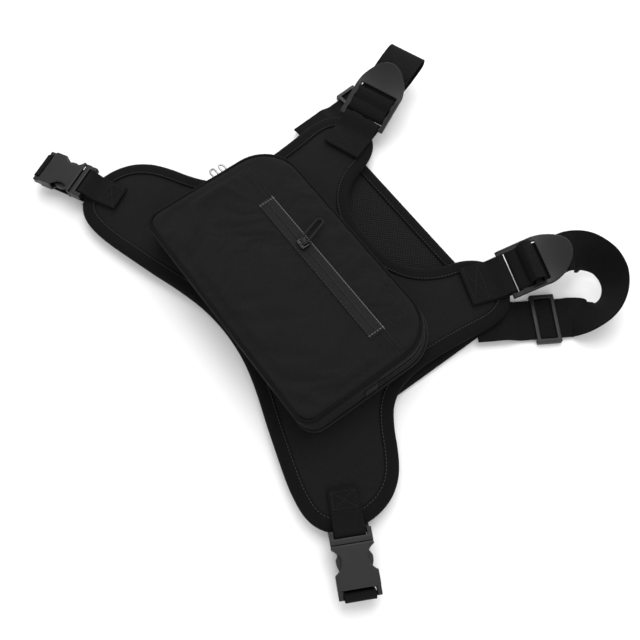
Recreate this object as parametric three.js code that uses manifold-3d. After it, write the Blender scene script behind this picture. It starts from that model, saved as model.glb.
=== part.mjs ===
// Chest-rig harness vest, lying on its back with the pouch up.
// Millimetres, +Z up, +Y towards the neck, +X towards the wearer's left arm (the viewer's right).
// A padded front panel lies over a mesh back panel. Webbing, ladder locks and
// side-release buckles join the two. The front panel carries a zipped pouch.
import * as THREE from 'three';
import { mergeVertices } from 'three/addons/utils/BufferGeometryUtils.js';
import Module from 'manifold-3d';

const wasm = await Module();
wasm.setup();

// ---------------------------------------------------------------- driving dimensions

const clearance = 0.3;            // between pieces that touch
const webThickness = 1.4;         // every webbing strap
const hardwareRoom = 0.6;         // beside a strap in a lock or slider

// Back panel: a rounded rectangle on the ground.
const backHalfWidth = 132;
const backTopY = 139;
const backBottomY = -58;
const backCornerRadius = 22;
const backShellThickness = 2.5;
const backMeshThickness = 2;
const backBindingWidth = 10;
const backBindingLift = 0.4;      // from the ground to the edge tape

// Front panel: an X-shaped pad with two shoulder arms and two side arms.
const neckDepthY = 87;
const neckHalfWidth = 66;
const shoulderTopY = 160;
const shoulderOuterX = 134;
const waistHalfWidth = 127;
const sideTipX = 204;
const sideTipLowY = -111;
const hemY = -71;
const liningThickness = 1.5;
const faceThickness = 4;
const bindingThickness = 1;
const bindingLip = 1.2;
const frontBindingWidth = 12;
const strapPlay = 0.4;            // between the straps on the back panel and the lining
const frontOutlineSteps = 120;

// Pouch: a rounded box that sags towards the hem.
const pouchWidth = 241;
const pouchHeight = 142;
const pouchDepth = 32.7;
const pouchBaseY = 4;
const pouchSag = 7.5;             // how far the face hangs below the base
const pouchTopRadius = 30;
const pouchBottomRadius = 13;
const pouchWall = 1.6;
const pouchFaceThickness = 3;
const foldY = 0;                  // the lid folds on this line, between the zip's two ends
const zipTapeHeight = 3;
const zipRise = 11.2;             // from the pouch back to the zip
const facePipingRadius = 1.6;
const basePipingRadius = 1.3;
const garageThickness = 2;        // the fabric tabs over the zip's two ends
const garageLength = 13;
const garageLap = 3;              // above and below the zip

// Front slip pocket on the lid.
const pocketZipLength = 162;
const pocketZipX = 10;
const pocketZipY = 23.5;
const pocketTapeWidth = 16;
const pocketTapeThickness = 0.8;
const pocketChainWidth = 3;
const pocketSliderX = -14;
const pocketBagDepth = 60;
const pocketBagThickness = 1.2;
const pocketBagMargin = 12;       // from each side of the pouch

// Zip sliders and pulls.
const mainSliderY = [8, 17.5];
const mainSliderSize = [3.4, 8.5, 8];
const mainPullLength = 19;
const mainPullWidth = 5;
const pocketSliderSize = [10, 8, 2.4];
const pocketPullLength = 31;
const pocketPullWidth = 8;
const pullThickness = 1.4;
const pullRim = 1.5;              // round the slot in every pull

// Shoulder hardware.
const shoulderWebWidth = 38;
const lockX = 105;
const lockLean = 20;              // degrees outward from +Y
const lockTilt = 22;              // degrees that the thumb tab stands up
const shoulderAnchorLength = 38;
const barWidth = 3.6;             // every webbing bar: along the strap
const barThickness = 3;           // and through it
const railWidth = 4.4;
const lockFrameLength = 34;
const lockTabLength = 28;
const ladderBarAt = [11, 24];
const ladderBarWidth = 6;

// Side hardware.
const sideWebWidth = 25;
const buckleX = 202;
const buckleY = -90;
const buckleTurn = 27.5;          // degrees from the X axis towards the hem
const buckleDip = 5;              // degrees that its far end lies lower
const sideAnchorLength = 36;
const buckleWidth = 34;
const buckleHeight = 11;
const socketLength = 34;
const prongLength = 24;
const prongThickness = 4.4;
const prongSpread = 9;            // from the middle of the plug to each prong's root
const plugBaseLength = 5;
const cheekHeight = 6;
const socketWall = 2.2;
const socketSideWall = 1.4;
const socketEndWall = 6;
const notchRadius = 11;           // the finger notches in the socket's sides
const notchDepth = 6.2;
const notchAt = 12;               // from the socket's mouth

// Strap sliders, one on each strap.
const sliderRail = 3.6;
const sliderLength = 22;
const sliderBar = 3.6;
const sliderPlate = 1.7;

// ---------------------------------------------------------------- heights that follow

const backMeshZ = backShellThickness + clearance;
const backFlangeZ = backMeshZ + backMeshThickness + clearance;
const strapOnBackZ = backFlangeZ + bindingThickness + clearance + webThickness / 2;
const liningZ = strapOnBackZ + webThickness / 2 + strapPlay;
const faceZ = liningZ + liningThickness + clearance;
const frontFlangeZ = faceZ + faceThickness + clearance;
const frontTopZ = frontFlangeZ + bindingThickness;
const pouchBackZ = frontTopZ + clearance;
const gussetZ = pouchBackZ + pouchWall + clearance;
const zipZ = gussetZ + zipRise;
const pouchFaceZ = pouchBackZ + pouchDepth - pouchFaceThickness;
const pouchTopZ = pouchFaceZ + pouchFaceThickness;
const webStep = clearance + webThickness / 2;
const wrapRadius = Math.hypot(barWidth, barThickness) / 2 + webStep;
const lockZ = frontTopZ + webStep + wrapRadius;
const pullReach = Math.hypot(pullRim, pullThickness / 2) + clearance;   // from a pull's pivot to its slider

// ---------------------------------------------------------------- materials

function cloth(color, roughness) {
  return new THREE.MeshStandardMaterial({ color, roughness, metalness: 0 });
}

const faceFabric = () => cloth(0x232323, 0.9);
const bindingTape = () => cloth(0x151515, 0.85);
const meshFabric = () => cloth(0x1b1b1b, 0.95);
const webbing = () => cloth(0x121212, 0.8);
const zipTape = () => cloth(0x101010, 0.8);
const plastic = () => cloth(0x303030, 0.45);
const metal = () => new THREE.MeshStandardMaterial({ color: 0xb9b9bb, roughness: 0.3, metalness: 1 });

// ---------------------------------------------------------------- geometry helpers

const vest = new THREE.Group();

function add(name, geometry, material, parent = vest) {
  const mesh = new THREE.Mesh(geometry, material);
  mesh.name = name;
  parent.add(mesh);
  return mesh;
}

function signedVolume(positions, index) {
  let total = 0;
  const [a, b, c] = [new THREE.Vector3(), new THREE.Vector3(), new THREE.Vector3()];
  for (let i = 0; i < index.length; i += 3) {
    a.fromArray(positions, 3 * index[i]);
    b.fromArray(positions, 3 * index[i + 1]);
    c.fromArray(positions, 3 * index[i + 2]);
    total += a.dot(b.cross(c));
  }
  return total / 6;
}

// A closed skin through a row of equal rings of corners, capped at both ends or joined in a loop.
function sweep(rings, closed = false) {
  const corners = rings[0].length;
  const positions = rings.flat().flatMap((point) => point.toArray());
  const index = [];
  const spans = closed ? rings.length : rings.length - 1;
  for (let i = 0; i < spans; i += 1) {
    const here = i * corners;
    const next = ((i + 1) % rings.length) * corners;
    for (let j = 0; j < corners; j += 1) {
      const k = (j + 1) % corners;
      index.push(here + j, next + j, next + k, here + j, next + k, here + k);
    }
  }
  if (!closed) {
    const last = (rings.length - 1) * corners;
    for (let j = 1; j < corners - 1; j += 1) {
      index.push(0, j, j + 1, last, last + j + 1, last + j);
    }
  }
  if (signedVolume(positions, index) < 0) index.reverse();
  const geometry = new THREE.BufferGeometry();
  geometry.setAttribute('position', new THREE.Float32BufferAttribute(positions, 3));
  geometry.setIndex(index);
  return geometry;
}

function slab(points, z, thickness) {
  const geometry = new THREE.ExtrudeGeometry(new THREE.Shape(points), {
    depth: thickness,
    bevelEnabled: false,
  });
  return geometry.translate(0, 0, z);
}

function box(size, centre) {
  return new THREE.BoxGeometry(...size).translate(...centre);
}

// Each point of a clockwise outline moved inwards.
function inset(points, distance) {
  const count = points.length;
  return points.map((point, i) => {
    const before = points[(i + count - 1) % count];
    const after = points[(i + 1) % count];
    const along = after.clone().sub(before).normalize();
    return new THREE.Vector2(point.x + along.y * distance, point.y - along.x * distance);
  });
}

// Edge tape round a panel: a lip down the edge and a flange over its top.
function bindingRing(outline, bottomZ, flangeZ, width) {
  const topZ = flangeZ + bindingThickness;
  const profile = [
    [0, bottomZ],
    [0, topZ],
    [width, topZ],
    [width, flangeZ],
    [bindingLip, flangeZ],
    [bindingLip, bottomZ],
  ];
  const loops = profile.map(([depth, z]) => {
    return inset(outline, depth).map((point) => new THREE.Vector3(point.x, point.y, z));
  });
  return sweep(outline.map((_, i) => loops.map((loop) => loop[i])), true);
}

// A flat strap along a route of [x, y, z, width direction x, y, z] points.
function strap(route, width, steps) {
  const centre = new THREE.CatmullRomCurve3(route.map((p) => new THREE.Vector3(p[0], p[1], p[2])));
  const side = new THREE.CatmullRomCurve3(route.map((p) => new THREE.Vector3(p[3], p[4], p[5])));
  const rings = [];
  for (let i = 0; i <= steps; i += 1) {
    const at = i / steps;
    const middle = centre.getPoint(at);
    const along = centre.getTangent(at);
    const across = side.getPoint(at).addScaledVector(along, -side.getPoint(at).dot(along)).normalize();
    const normal = new THREE.Vector3().crossVectors(along, across);
    const corners = [[-1, -1], [1, -1], [1, 1], [-1, 1]];
    rings.push(corners.map(([w, t]) => {
      return middle.clone()
        .addScaledVector(across, (w * width) / 2)
        .addScaledVector(normal, (t * webThickness) / 2);
    }));
  }
  return sweep(rings);
}

function toSolid(geometry) {
  const bare = geometry.clone();
  bare.deleteAttribute('normal');
  bare.deleteAttribute('uv');
  const merged = mergeVertices(bare, 1e-4);
  return new wasm.Manifold(new wasm.Mesh({
    numProp: 3,
    vertProperties: Float32Array.from(merged.attributes.position.array),
    triVerts: Uint32Array.from(merged.index.array),
  }));
}

function toGeometry(solid) {
  const mesh = solid.getMesh();
  const geometry = new THREE.BufferGeometry();
  geometry.setAttribute('position', new THREE.Float32BufferAttribute(mesh.vertProperties, 3));
  geometry.setIndex(Array.from(mesh.triVerts));
  return geometry;
}

function join(pieces) {
  return pieces.map(toSolid).reduce((whole, piece) => whole.add(piece));
}

// ---------------------------------------------------------------- back panel

function backOutline() {
  const r = backCornerRadius;
  const corners = [
    [backHalfWidth - r, backTopY - r, Math.PI / 2],
    [backHalfWidth - r, backBottomY + r, 0],
    [-backHalfWidth + r, backBottomY + r, -Math.PI / 2],
    [-backHalfWidth + r, backTopY - r, Math.PI],
  ];
  return corners.flatMap(([x, y, start]) => {
    const turns = [0, 1, 2, 3, 4, 5, 6];
    return turns.map((turn) => {
      const angle = start - (turn / 6) * (Math.PI / 2);
      return new THREE.Vector2(x + r * Math.cos(angle), y + r * Math.sin(angle));
    });
  });
}

function buildBackPanel() {
  const outline = backOutline();
  const inner = inset(outline, bindingLip + clearance);
  add('back_panel_shell', slab(inner, 0, backShellThickness), faceFabric());
  add('back_panel_mesh', slab(inner, backMeshZ, backMeshThickness), meshFabric());
  add('back_panel_binding', bindingRing(outline, backBindingLift, backFlangeZ, backBindingWidth), bindingTape());
}

// ---------------------------------------------------------------- front panel

// One side of the outline, from the bottom of the neck scoop clockwise to the hem.
function frontOutline() {
  const half = [
    [0, neckDepthY],
    [neckHalfWidth - 38, neckDepthY + 3],
    [neckHalfWidth - 18, neckDepthY + 14],
    [neckHalfWidth - 6, neckDepthY + 30],
    [neckHalfWidth, shoulderTopY - 25],
    [neckHalfWidth + 8, shoulderTopY - 10],
    [neckHalfWidth + 20, shoulderTopY - 1],
    [shoulderOuterX - 33, shoulderTopY],
    [shoulderOuterX - 16, shoulderTopY - 5],
    [shoulderOuterX - 4, shoulderTopY - 17],
    [shoulderOuterX, shoulderTopY - 35],
    [waistHalfWidth + 4, shoulderTopY - 60],
    [waistHalfWidth + 1, 72],
    [waistHalfWidth, 46],
    [waistHalfWidth + 3, 24],
    [waistHalfWidth + 11, 7],
    [sideTipX - 50, -6],
    [sideTipX - 31, -17],
    [sideTipX - 15, -29],
    [sideTipX - 4, -45],
    [sideTipX, -62],
    [sideTipX - 1, -79],
    [sideTipX - 7, sideTipLowY + 15],
    [sideTipX - 18, sideTipLowY + 4],
    [sideTipX - 32, sideTipLowY],
    [sideTipX - 48, sideTipLowY + 1],
    [sideTipX - 66, sideTipLowY + 5],
    [115, hemY - 28],
    [88, hemY - 19.5],
    [60, hemY - 10],
    [30, hemY - 2.5],
    [0, hemY],
  ];
  const mirrored = half.slice(1, -1).reverse().map(([x, y]) => [-x, y]);
  const knots = [...half, ...mirrored].map(([x, y]) => new THREE.Vector3(x, y, 0));
  const curve = new THREE.CatmullRomCurve3(knots, true);
  return curve.getSpacedPoints(frontOutlineSteps).slice(0, -1).map((p) => new THREE.Vector2(p.x, p.y));
}

function buildFrontPanel() {
  const outline = frontOutline();
  const inner = inset(outline, bindingLip + clearance);
  add('front_panel_lining', slab(inner, liningZ, liningThickness), meshFabric());
  add('front_panel_face', slab(inner, faceZ, faceThickness), faceFabric());
  add('front_panel_binding', bindingRing(outline, liningZ, frontFlangeZ, frontBindingWidth), bindingTape());
}

// ---------------------------------------------------------------- pouch

// The pouch's outline at a height, from one end of the fold line to the other:
// over the top when upper is true, round the bottom when it is false.
function pouchRun(z, depth, upper) {
  const sagged = pouchBaseY - (pouchSag * (z - pouchBackZ)) / pouchDepth;
  const w = pouchWidth / 2 - depth;
  const h = pouchHeight / 2 - depth;
  const side = upper ? 1 : -1;
  const r = (upper ? pouchTopRadius : pouchBottomRadius) - depth;
  const run = [new THREE.Vector3(side * w, foldY + (side * clearance) / 2, z)];
  for (const end of [side, -side]) {
    const first = end === side ? 0 : Math.PI / 2;
    for (let turn = 0; turn <= 8; turn += 1) {
      const angle = first + (turn / 8) * (Math.PI / 2);
      const x = end * (w - r) + side * r * Math.cos(angle);
      const y = sagged + side * (h - r + r * Math.sin(angle));
      run.push(new THREE.Vector3(x, y, z));
    }
  }
  run.push(new THREE.Vector3(-side * w, foldY + (side * clearance) / 2, z));
  return run;
}

function pouchBand(lowZ, highZ, upper, depth = 0, thickness = pouchWall) {
  const edges = [
    pouchRun(lowZ, depth, upper),
    pouchRun(highZ, depth, upper),
    pouchRun(highZ, depth + thickness, upper),
    pouchRun(lowZ, depth + thickness, upper),
  ];
  return sweep(edges[0].map((_, i) => edges.map((edge) => edge[i])));
}

// A cord of the given radius along a run of points.
function piping(run, radius, closed = false) {
  const rings = run.map((point, i) => {
    const before = closed ? run[(i + run.length - 1) % run.length] : run[Math.max(i - 1, 0)];
    const after = closed ? run[(i + 1) % run.length] : run[Math.min(i + 1, run.length - 1)];
    const along = after.clone().sub(before).normalize();
    const out = new THREE.Vector3(along.y, -along.x, 0);
    return [0, 1, 2, 3, 4, 5].map((step) => {
      const angle = (step * Math.PI) / 3;
      return point.clone()
        .addScaledVector(out, radius * Math.cos(angle))
        .add(new THREE.Vector3(0, 0, radius * Math.sin(angle)));
    });
  });
  return sweep(rings, closed);
}

function flatten(run) {
  return run.map((point) => new THREE.Vector2(point.x, point.y));
}

function buildPouch() {
  const lidLowZ = zipZ + 2 * (zipTapeHeight + clearance);
  const gussetTopZ = pouchFaceZ - clearance;
  const back = [...pouchRun(pouchBackZ, 0, true), ...pouchRun(pouchBackZ, 0, false)];
  const pipingZ = pouchFaceZ + facePipingRadius;
  const faceInset = 2 * facePipingRadius + clearance;
  const basePipe = [
    ...pouchRun(gussetZ + basePipingRadius, -basePipingRadius - clearance, true),
    ...pouchRun(gussetZ + basePipingRadius, -basePipingRadius - clearance, false),
  ];
  add('pouch_back', slab(flatten(back), pouchBackZ, pouchWall), faceFabric());
  add('pouch_base_piping', piping(basePipe, basePipingRadius, true), bindingTape());
  add('pouch_gusset_bottom', pouchBand(gussetZ, gussetTopZ, false), faceFabric());
  add('pouch_gusset_inner', pouchBand(gussetZ, zipZ - clearance, true), faceFabric());
  add('main_zip_tape_inner', pouchBand(zipZ, zipZ + zipTapeHeight, true), zipTape());
  add('main_zip_tape_outer', pouchBand(lidLowZ - clearance - zipTapeHeight, lidLowZ - clearance, true), zipTape());
  add('pouch_gusset_outer', pouchBand(lidLowZ, gussetTopZ, true), faceFabric());
  for (const [part, upper] of [['upper', true], ['lower', false]]) {
    const skin = flatten(pouchRun(pipingZ, faceInset, upper));
    const cord = pouchRun(pipingZ, facePipingRadius, upper);
    add(`pouch_front_${part}`, slab(skin, pouchFaceZ, pouchFaceThickness), faceFabric());
    add(`pouch_piping_${part}`, piping(cord, facePipingRadius), bindingTape());
  }
  const garage = [garageThickness, garageLength, 2 * (zipTapeHeight + garageLap)];
  for (const [side, sign] of [['left', -1], ['right', 1]]) {
    const x = sign * (pouchWidth / 2 + clearance + garageThickness / 2);
    const centre = [x, foldY - clearance - garageLength / 2, zipZ + zipTapeHeight];
    add(`zip_garage_${side}`, box(garage, centre), faceFabric());
  }
}

// ---------------------------------------------------------------- zips

// A flat pull with a slot in it, running along +Y from its pivot at the origin.
function pullPlate(length, width) {
  const r = width / 2;
  const shape = new THREE.Shape();
  shape.absarc(0, length - r, r, 0, Math.PI, false);
  shape.absarc(0, r, r, Math.PI, 2 * Math.PI, false);
  const slot = new THREE.Path();
  slot.absarc(0, length - r, r - pullRim, 0, Math.PI, false);
  slot.absarc(0, r, r - pullRim, Math.PI, 2 * Math.PI, false);
  shape.holes.push(slot);
  const depth = { depth: pullThickness, bevelEnabled: false, curveSegments: 8 };
  return new THREE.ExtrudeGeometry(shape, depth).translate(0, -pullRim, -pullThickness / 2);
}

function buildMainSliders() {
  const names = ['lower', 'upper'];
  const zipMiddleZ = zipZ + zipTapeHeight + clearance / 2;
  const bodyX = -pouchWidth / 2 - clearance - mainSliderSize[0] / 2;
  const pivotX = bodyX - mainSliderSize[0] / 2 - pullReach;
  const outward = new THREE.Matrix4().makeBasis(
    new THREE.Vector3(0, 0, -1),
    new THREE.Vector3(-1, 0, 0),
    new THREE.Vector3(0, 1, 0),
  );
  names.forEach((name, i) => {
    const y = mainSliderY[i];
    add(`main_slider_${name}`, box(mainSliderSize, [bodyX, y, zipMiddleZ]), metal());
    const pull = add(`main_pull_${name}`, pullPlate(mainPullLength, mainPullWidth), metal());
    pull.quaternion.setFromRotationMatrix(outward);
    pull.position.set(pivotX, y, zipMiddleZ);
  });
}

function buildPocket() {
  const tapeZ = pouchTopZ + clearance;
  const chainZ = tapeZ + pocketTapeThickness + clearance;
  const sliderZ = chainZ + pocketTapeThickness + clearance;
  const tape = [pocketZipLength, pocketTapeWidth, pocketTapeThickness];
  const chain = [pocketZipLength - 6, pocketChainWidth, pocketTapeThickness];
  const bag = [pouchWidth - 2 * pocketBagMargin, pocketBagDepth, pocketBagThickness];
  const bagY = foldY - clearance - pocketBagDepth / 2;
  const sliderTopZ = sliderZ + pocketSliderSize[2];
  const pivotZ = sliderTopZ + pullReach;
  add('pocket_zip_tape', box(tape, [pocketZipX, pocketZipY, tapeZ + tape[2] / 2]), zipTape());
  add('pocket_zip_chain', box(chain, [pocketZipX, pocketZipY, chainZ + chain[2] / 2]), zipTape());
  add('pocket_bag', box(bag, [0, bagY, pouchFaceZ - clearance - pocketBagThickness / 2]), faceFabric());
  const middle = [pocketSliderX, pocketZipY, sliderZ + pocketSliderSize[2] / 2];
  add('pocket_zip_slider', box(pocketSliderSize, middle), plastic());
  const droop = Math.asin((pivotZ - chainZ - pullThickness) / pocketPullLength);
  const pull = add('pocket_zip_pull', pullPlate(pocketPullLength, pocketPullWidth), webbing());
  pull.rotation.set(-droop, 0, 0);
  pull.position.set(pocketSliderX, pocketZipY, pivotZ);
}

// ---------------------------------------------------------------- webbing hardware

// Webbing sewn to an arm: it runs out to a bar at the origin, folds round it and comes back on top.
function anchorRoute(length) {
  const step = webThickness + clearance;
  const route = [
    [-length + 4, -wrapRadius],
    [-12, -wrapRadius],
    [-6, -wrapRadius],
  ];
  for (let turn = 0; turn <= 6; turn += 1) {
    const angle = -Math.PI / 2 + (turn / 6) * Math.PI;
    route.push([wrapRadius * Math.cos(angle), wrapRadius * Math.sin(angle)]);
  }
  route.push([-4, wrapRadius * 0.6]);
  route.push([-13, step - wrapRadius]);
  route.push([-20, step - wrapRadius]);
  route.push([-length, step - wrapRadius]);
  return route;
}

function crossed(route) {
  return route.map(([s, z]) => [0, s, z, 1, 0, 0]);
}

// A ladder lock: bar, two ladder bars, side rails and a rounded thumb tab, along +Y from its bar.
function ladderLock() {
  const half = shoulderWebWidth / 2 + hardwareRoom + railWidth;
  const shape = new THREE.Shape();
  shape.moveTo(-half, -barWidth / 2);
  shape.lineTo(half, -barWidth / 2);
  shape.lineTo(half, lockFrameLength);
  const tabTip = lockFrameLength + lockTabLength;
  shape.bezierCurveTo(half, lockFrameLength + 9, half * 0.6, tabTip, 0, tabTip);
  shape.bezierCurveTo(-half * 0.6, tabTip, -half, lockFrameLength + 9, -half, lockFrameLength);
  const inner = half - railWidth;
  const edges = [barWidth / 2];
  for (const middle of ladderBarAt) {
    edges.push(middle - ladderBarWidth / 2, middle + ladderBarWidth / 2);
  }
  edges.push(lockFrameLength);
  for (let i = 0; i < edges.length; i += 2) {
    const window = new THREE.Path();
    window.moveTo(-inner, edges[i]);
    window.lineTo(-inner, edges[i + 1]);
    window.lineTo(inner, edges[i + 1]);
    window.lineTo(inner, edges[i]);
    shape.holes.push(window);
  }
  const depth = { depth: barThickness, bevelEnabled: false, curveSegments: 10 };
  return new THREE.ExtrudeGeometry(shape, depth).translate(0, 0, -barThickness / 2);
}

// A strap slider: its outer bars lie over the strap and its middle bar under it.
function strapSlider(webWidth) {
  const inner = webWidth / 2 + hardwareRoom;
  const rise = webThickness / 2 + clearance;
  const barX = 2 * inner + sliderRail;
  const pieces = [-1, 1].map((side) => {
    return box([sliderRail, sliderLength, 2 * (rise + sliderPlate)], [side * (inner + sliderRail / 2), 0, 0]);
  });
  for (const side of [-1, 1]) {
    const y = (side * (sliderLength - sliderBar)) / 2;
    pieces.push(box([barX, sliderBar, sliderPlate], [0, y, rise + sliderPlate / 2]));
  }
  pieces.push(box([barX, sliderBar, sliderPlate], [0, 0, -rise - sliderPlate / 2]));
  return toGeometry(join(pieces));
}

// Points on the route through the ladder, as [along, above], then out under the thumb tab.
function ladderRoute(hump) {
  const over = barThickness / 2 + webStep;
  const [first, second] = ladderBarAt;
  const tail = [
    [second + 26, -over - 0.3],
    [second + 12, -over - 0.3],
    [second + 8.4, -over + 0.4],
    [second + 5.9, -0.2],
  ];
  const top = [
    [second + 4.6 + hump * 0.25, over - 0.4 + hump * 0.45],
    [second, over + 0.5 + hump],
    [second - 4.6 - hump * 0.1, over - 0.3 + hump * 0.45],
    [(first + second) / 2, over - 0.6],
    [first + 3.5, over + 0.35],
    [first - 1, over + 0.4],
    [first - 4, over - 0.6],
    [first - 5.3, -0.4],
  ];
  const under = [
    [first - 4.2, -over - 0.6],
    [first, -over - 2.2],
    [first + 10, -over - 2.7],
    [first + 28, -over - 2.9],
    [first + 44, -over - 3.1],
  ];
  return [...tail, ...top, ...under];
}

function direction(degrees) {
  const angle = THREE.MathUtils.degToRad(degrees);
  return [Math.sin(angle), Math.cos(angle)];
}

// The shoulder strap's ladder stretch in the vest's own axes.
function ladderStretch(sign, hump) {
  const [ux, uy] = direction(lockLean);
  const tilt = THREE.MathUtils.degToRad(lockTilt);
  return ladderRoute(hump).map(([s, n]) => {
    const run = s * Math.cos(tilt) - n * Math.sin(tilt);
    const rise = s * Math.sin(tilt) + n * Math.cos(tilt);
    const x = sign * (lockX + ux * run);
    return [x, shoulderTopY + uy * run, lockZ + rise, sign * uy, -ux, 0];
  });
}

// A strap slider's seat: its middle, its height and the way its strap runs there.
const shoulderSliderZ = 3.4;
const rightSeat = { x: 154.5, y: 166.5, heading: 212 };
const leftSeat = { x: -130, y: 178, heading: 176 };

// Four points in line through a seat, so that the strap is straight where the slider rides.
function seatStretch(seat, sign) {
  const [dx, dy] = direction(seat.heading);
  return [-25, -18, 18, 25].map((s) => {
    return [seat.x + s * dx, seat.y + s * dy, shoulderSliderZ, sign * dy, -sign * dx, 0];
  });
}

function buildShoulder(side, sign) {
  const lock = new THREE.Group();
  lock.position.set(sign * lockX, shoulderTopY, lockZ);
  lock.rotation.z = -sign * THREE.MathUtils.degToRad(lockLean);
  vest.add(lock);
  const anchor = strap(crossed(anchorRoute(shoulderAnchorLength)), shoulderWebWidth, 36);
  add(`shoulder_anchor_${side}`, anchor, webbing(), lock);
  const frame = add(`ladder_lock_${side}`, ladderLock(), plastic(), lock);
  frame.rotation.x = THREE.MathUtils.degToRad(lockTilt);
}

function buildShoulderStraps() {
  const right = [
    ...ladderStretch(1, 8),
    [128, 220, 31.5, 0.75, -0.42, -0.5],
    [136, 231, 27.5, 0.35, -0.35, -0.87],
    [150, 238, 23.5, 0.03, -0.34, -0.94],
    [165, 235, 21, -0.14, -0.31, -0.94],
    [177, 223, 19, -0.38, -0.18, -0.9],
    [181, 208, 16, -0.64, 0.06, -0.77],
    [176.5, 195.5, 9.8, -0.8, 0.37, -0.47],
    ...seatStretch(rightSeat, 1),
    [134.8, 135, strapOnBackZ, -0.85, 0.53, 0],
    [130, 127.2, strapOnBackZ, -0.85, 0.53, 0],
    [121, 112.7, strapOnBackZ, -0.85, 0.53, 0],
  ];
  const left = [
    ...ladderStretch(-1, 0),
    [-132, 233, 37, -0.94, -0.34, 0],
    [-134.5, 240, 35, -0.94, -0.34, 0],
    [-134.5, 240, 29, -0.95, -0.3, 0],
    [-132.5, 228, 19, -0.97, -0.2, 0],
    [-131.5, 214, 9, -0.99, -0.1, 0],
    ...seatStretch(leftSeat, 1),
    [-127.6, 143, strapOnBackZ, -1, -0.07, 0],
    [-127, 135, strapOnBackZ, -1, -0.07, 0],
    [-125, 108, strapOnBackZ, -1, -0.07, 0],
  ];
  add('shoulder_strap_right', strap(right, shoulderWebWidth, 90), webbing());
  add('shoulder_strap_left', strap(left, shoulderWebWidth, 90), webbing());
  for (const [side, seat] of [['left', leftSeat], ['right', rightSeat]]) {
    const slider = add(`shoulder_slider_${side}`, strapSlider(shoulderWebWidth), plastic());
    slider.position.set(seat.x, seat.y, shoulderSliderZ);
    slider.rotation.z = -THREE.MathUtils.degToRad(seat.heading);
  }
}

// ---------------------------------------------------------------- side-release buckles

const plugBaseAt = wrapRadius + webThickness / 2 + clearance;
const mouthAt = plugBaseAt + plugBaseLength + clearance;
const cheekWidth = (buckleWidth - sideWebWidth) / 2 - hardwareRoom;
const socketBarAt = mouthAt + socketLength + webThickness + wrapRadius + clearance;

// The plug half: bar, two cheeks, base and centre guide.
function plug() {
  const end = plugBaseAt + plugBaseLength;
  const pieces = [-1, 1].map((side) => {
    const x = side * (buckleWidth - cheekWidth) / 2;
    return box([cheekWidth, end + barWidth / 2, cheekHeight], [x, (end - barWidth / 2) / 2, 0]);
  });
  pieces.push(box([buckleWidth, barWidth, barThickness], [0, 0, 0]));
  pieces.push(box([buckleWidth, plugBaseLength, 8], [0, plugBaseAt + plugBaseLength / 2, 0]));
  pieces.push(box([5, prongLength, 2.4], [0, end + prongLength / 2 - 1, 0]));
  return toGeometry(join(pieces));
}

// One spring prong, from its root along +Y, bulging outwards (+X) where a finger presses it.
function prong() {
  const shape = new THREE.Shape();
  shape.moveTo(-1.6, 0);
  shape.lineTo(1.6, 0);
  shape.quadraticCurveTo(2.4, 6, 5.6, 10);
  shape.quadraticCurveTo(6.2, 14, 4.4, 18);
  shape.lineTo(2.2, prongLength - 2);
  shape.lineTo(0, prongLength - 2);
  shape.quadraticCurveTo(-1.2, 8, -1.6, 0);
  const depth = { depth: prongThickness, bevelEnabled: false, curveSegments: 5 };
  return new THREE.ExtrudeGeometry(shape, depth).translate(0, 0, -prongThickness / 2);
}

// The socket half: a waisted shell with a mouth, finger notches in its sides, and its own bar.
function socket() {
  const shell = toSolid(box([buckleWidth, socketLength, buckleHeight], [0, mouthAt + socketLength / 2, 0]));
  const roomLength = socketLength - socketEndWall;
  const room = box(
    [buckleWidth - 2 * socketSideWall, roomLength, buckleHeight - 2 * socketWall],
    [0, mouthAt + roomLength / 2 - 1, 0],
  );
  let body = shell.subtract(toSolid(room));
  for (const side of [-1, 1]) {
    const notch = new THREE.CylinderGeometry(notchRadius, notchRadius, buckleHeight + 2, 28);
    notch.rotateX(Math.PI / 2);
    notch.translate(side * (buckleWidth / 2 + notchRadius - notchDepth), mouthAt + notchAt, 0);
    body = body.subtract(toSolid(notch));
    const cheekLength = socketBarAt + barWidth / 2 - mouthAt - socketLength + 1;
    const at = [side * (buckleWidth - cheekWidth) / 2, mouthAt + socketLength - 1 + cheekLength / 2, 0];
    body = body.add(toSolid(box([cheekWidth, cheekLength, cheekHeight], at)));
  }
  return toGeometry(body.add(toSolid(box([buckleWidth, barWidth, barThickness], [0, socketBarAt, 0]))));
}

// The side strap: a short tail, round the socket's bar, then back under everything to the back panel.
function sideStrapRoute() {
  const dip = THREE.MathUtils.degToRad(buckleDip);
  const tailZ = -buckleHeight / 2 - webStep;
  const socketEnd = mouthAt + socketLength;
  const onSocket = [
    [socketEnd - 9, tailZ],
    [socketEnd - 3, tailZ],
    [socketEnd + 0.9, tailZ + 0.4],
  ];
  for (let turn = 0; turn <= 6; turn += 1) {
    const angle = Math.PI * (1.1 - (turn / 6) * 1.1);
    onSocket.push([socketBarAt + wrapRadius * Math.cos(angle), wrapRadius * Math.sin(angle)]);
  }
  const route = onSocket.map(([s, z]) => {
    return [s * Math.cos(dip) + z * Math.sin(dip), z * Math.cos(dip) - s * Math.sin(dip)];
  });
  const runZ = sideSliderZ - lockZ;
  const topZ = strapOnBackZ - lockZ;
  route.push([socketBarAt + 1, runZ + 4]);
  route.push([socketBarAt - 5, runZ]);
  route.push([socketBarAt - 18, runZ]);
  route.push([10, runZ]);
  route.push([-34, runZ]);
  route.push([-46, runZ]);
  route.push([-66, topZ]);
  route.push([-76, topZ]);
  route.push([-105, topZ]);
  return route;
}

const sideSliderZ = 5.1;
const sideSliderAt = -12;

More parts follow.
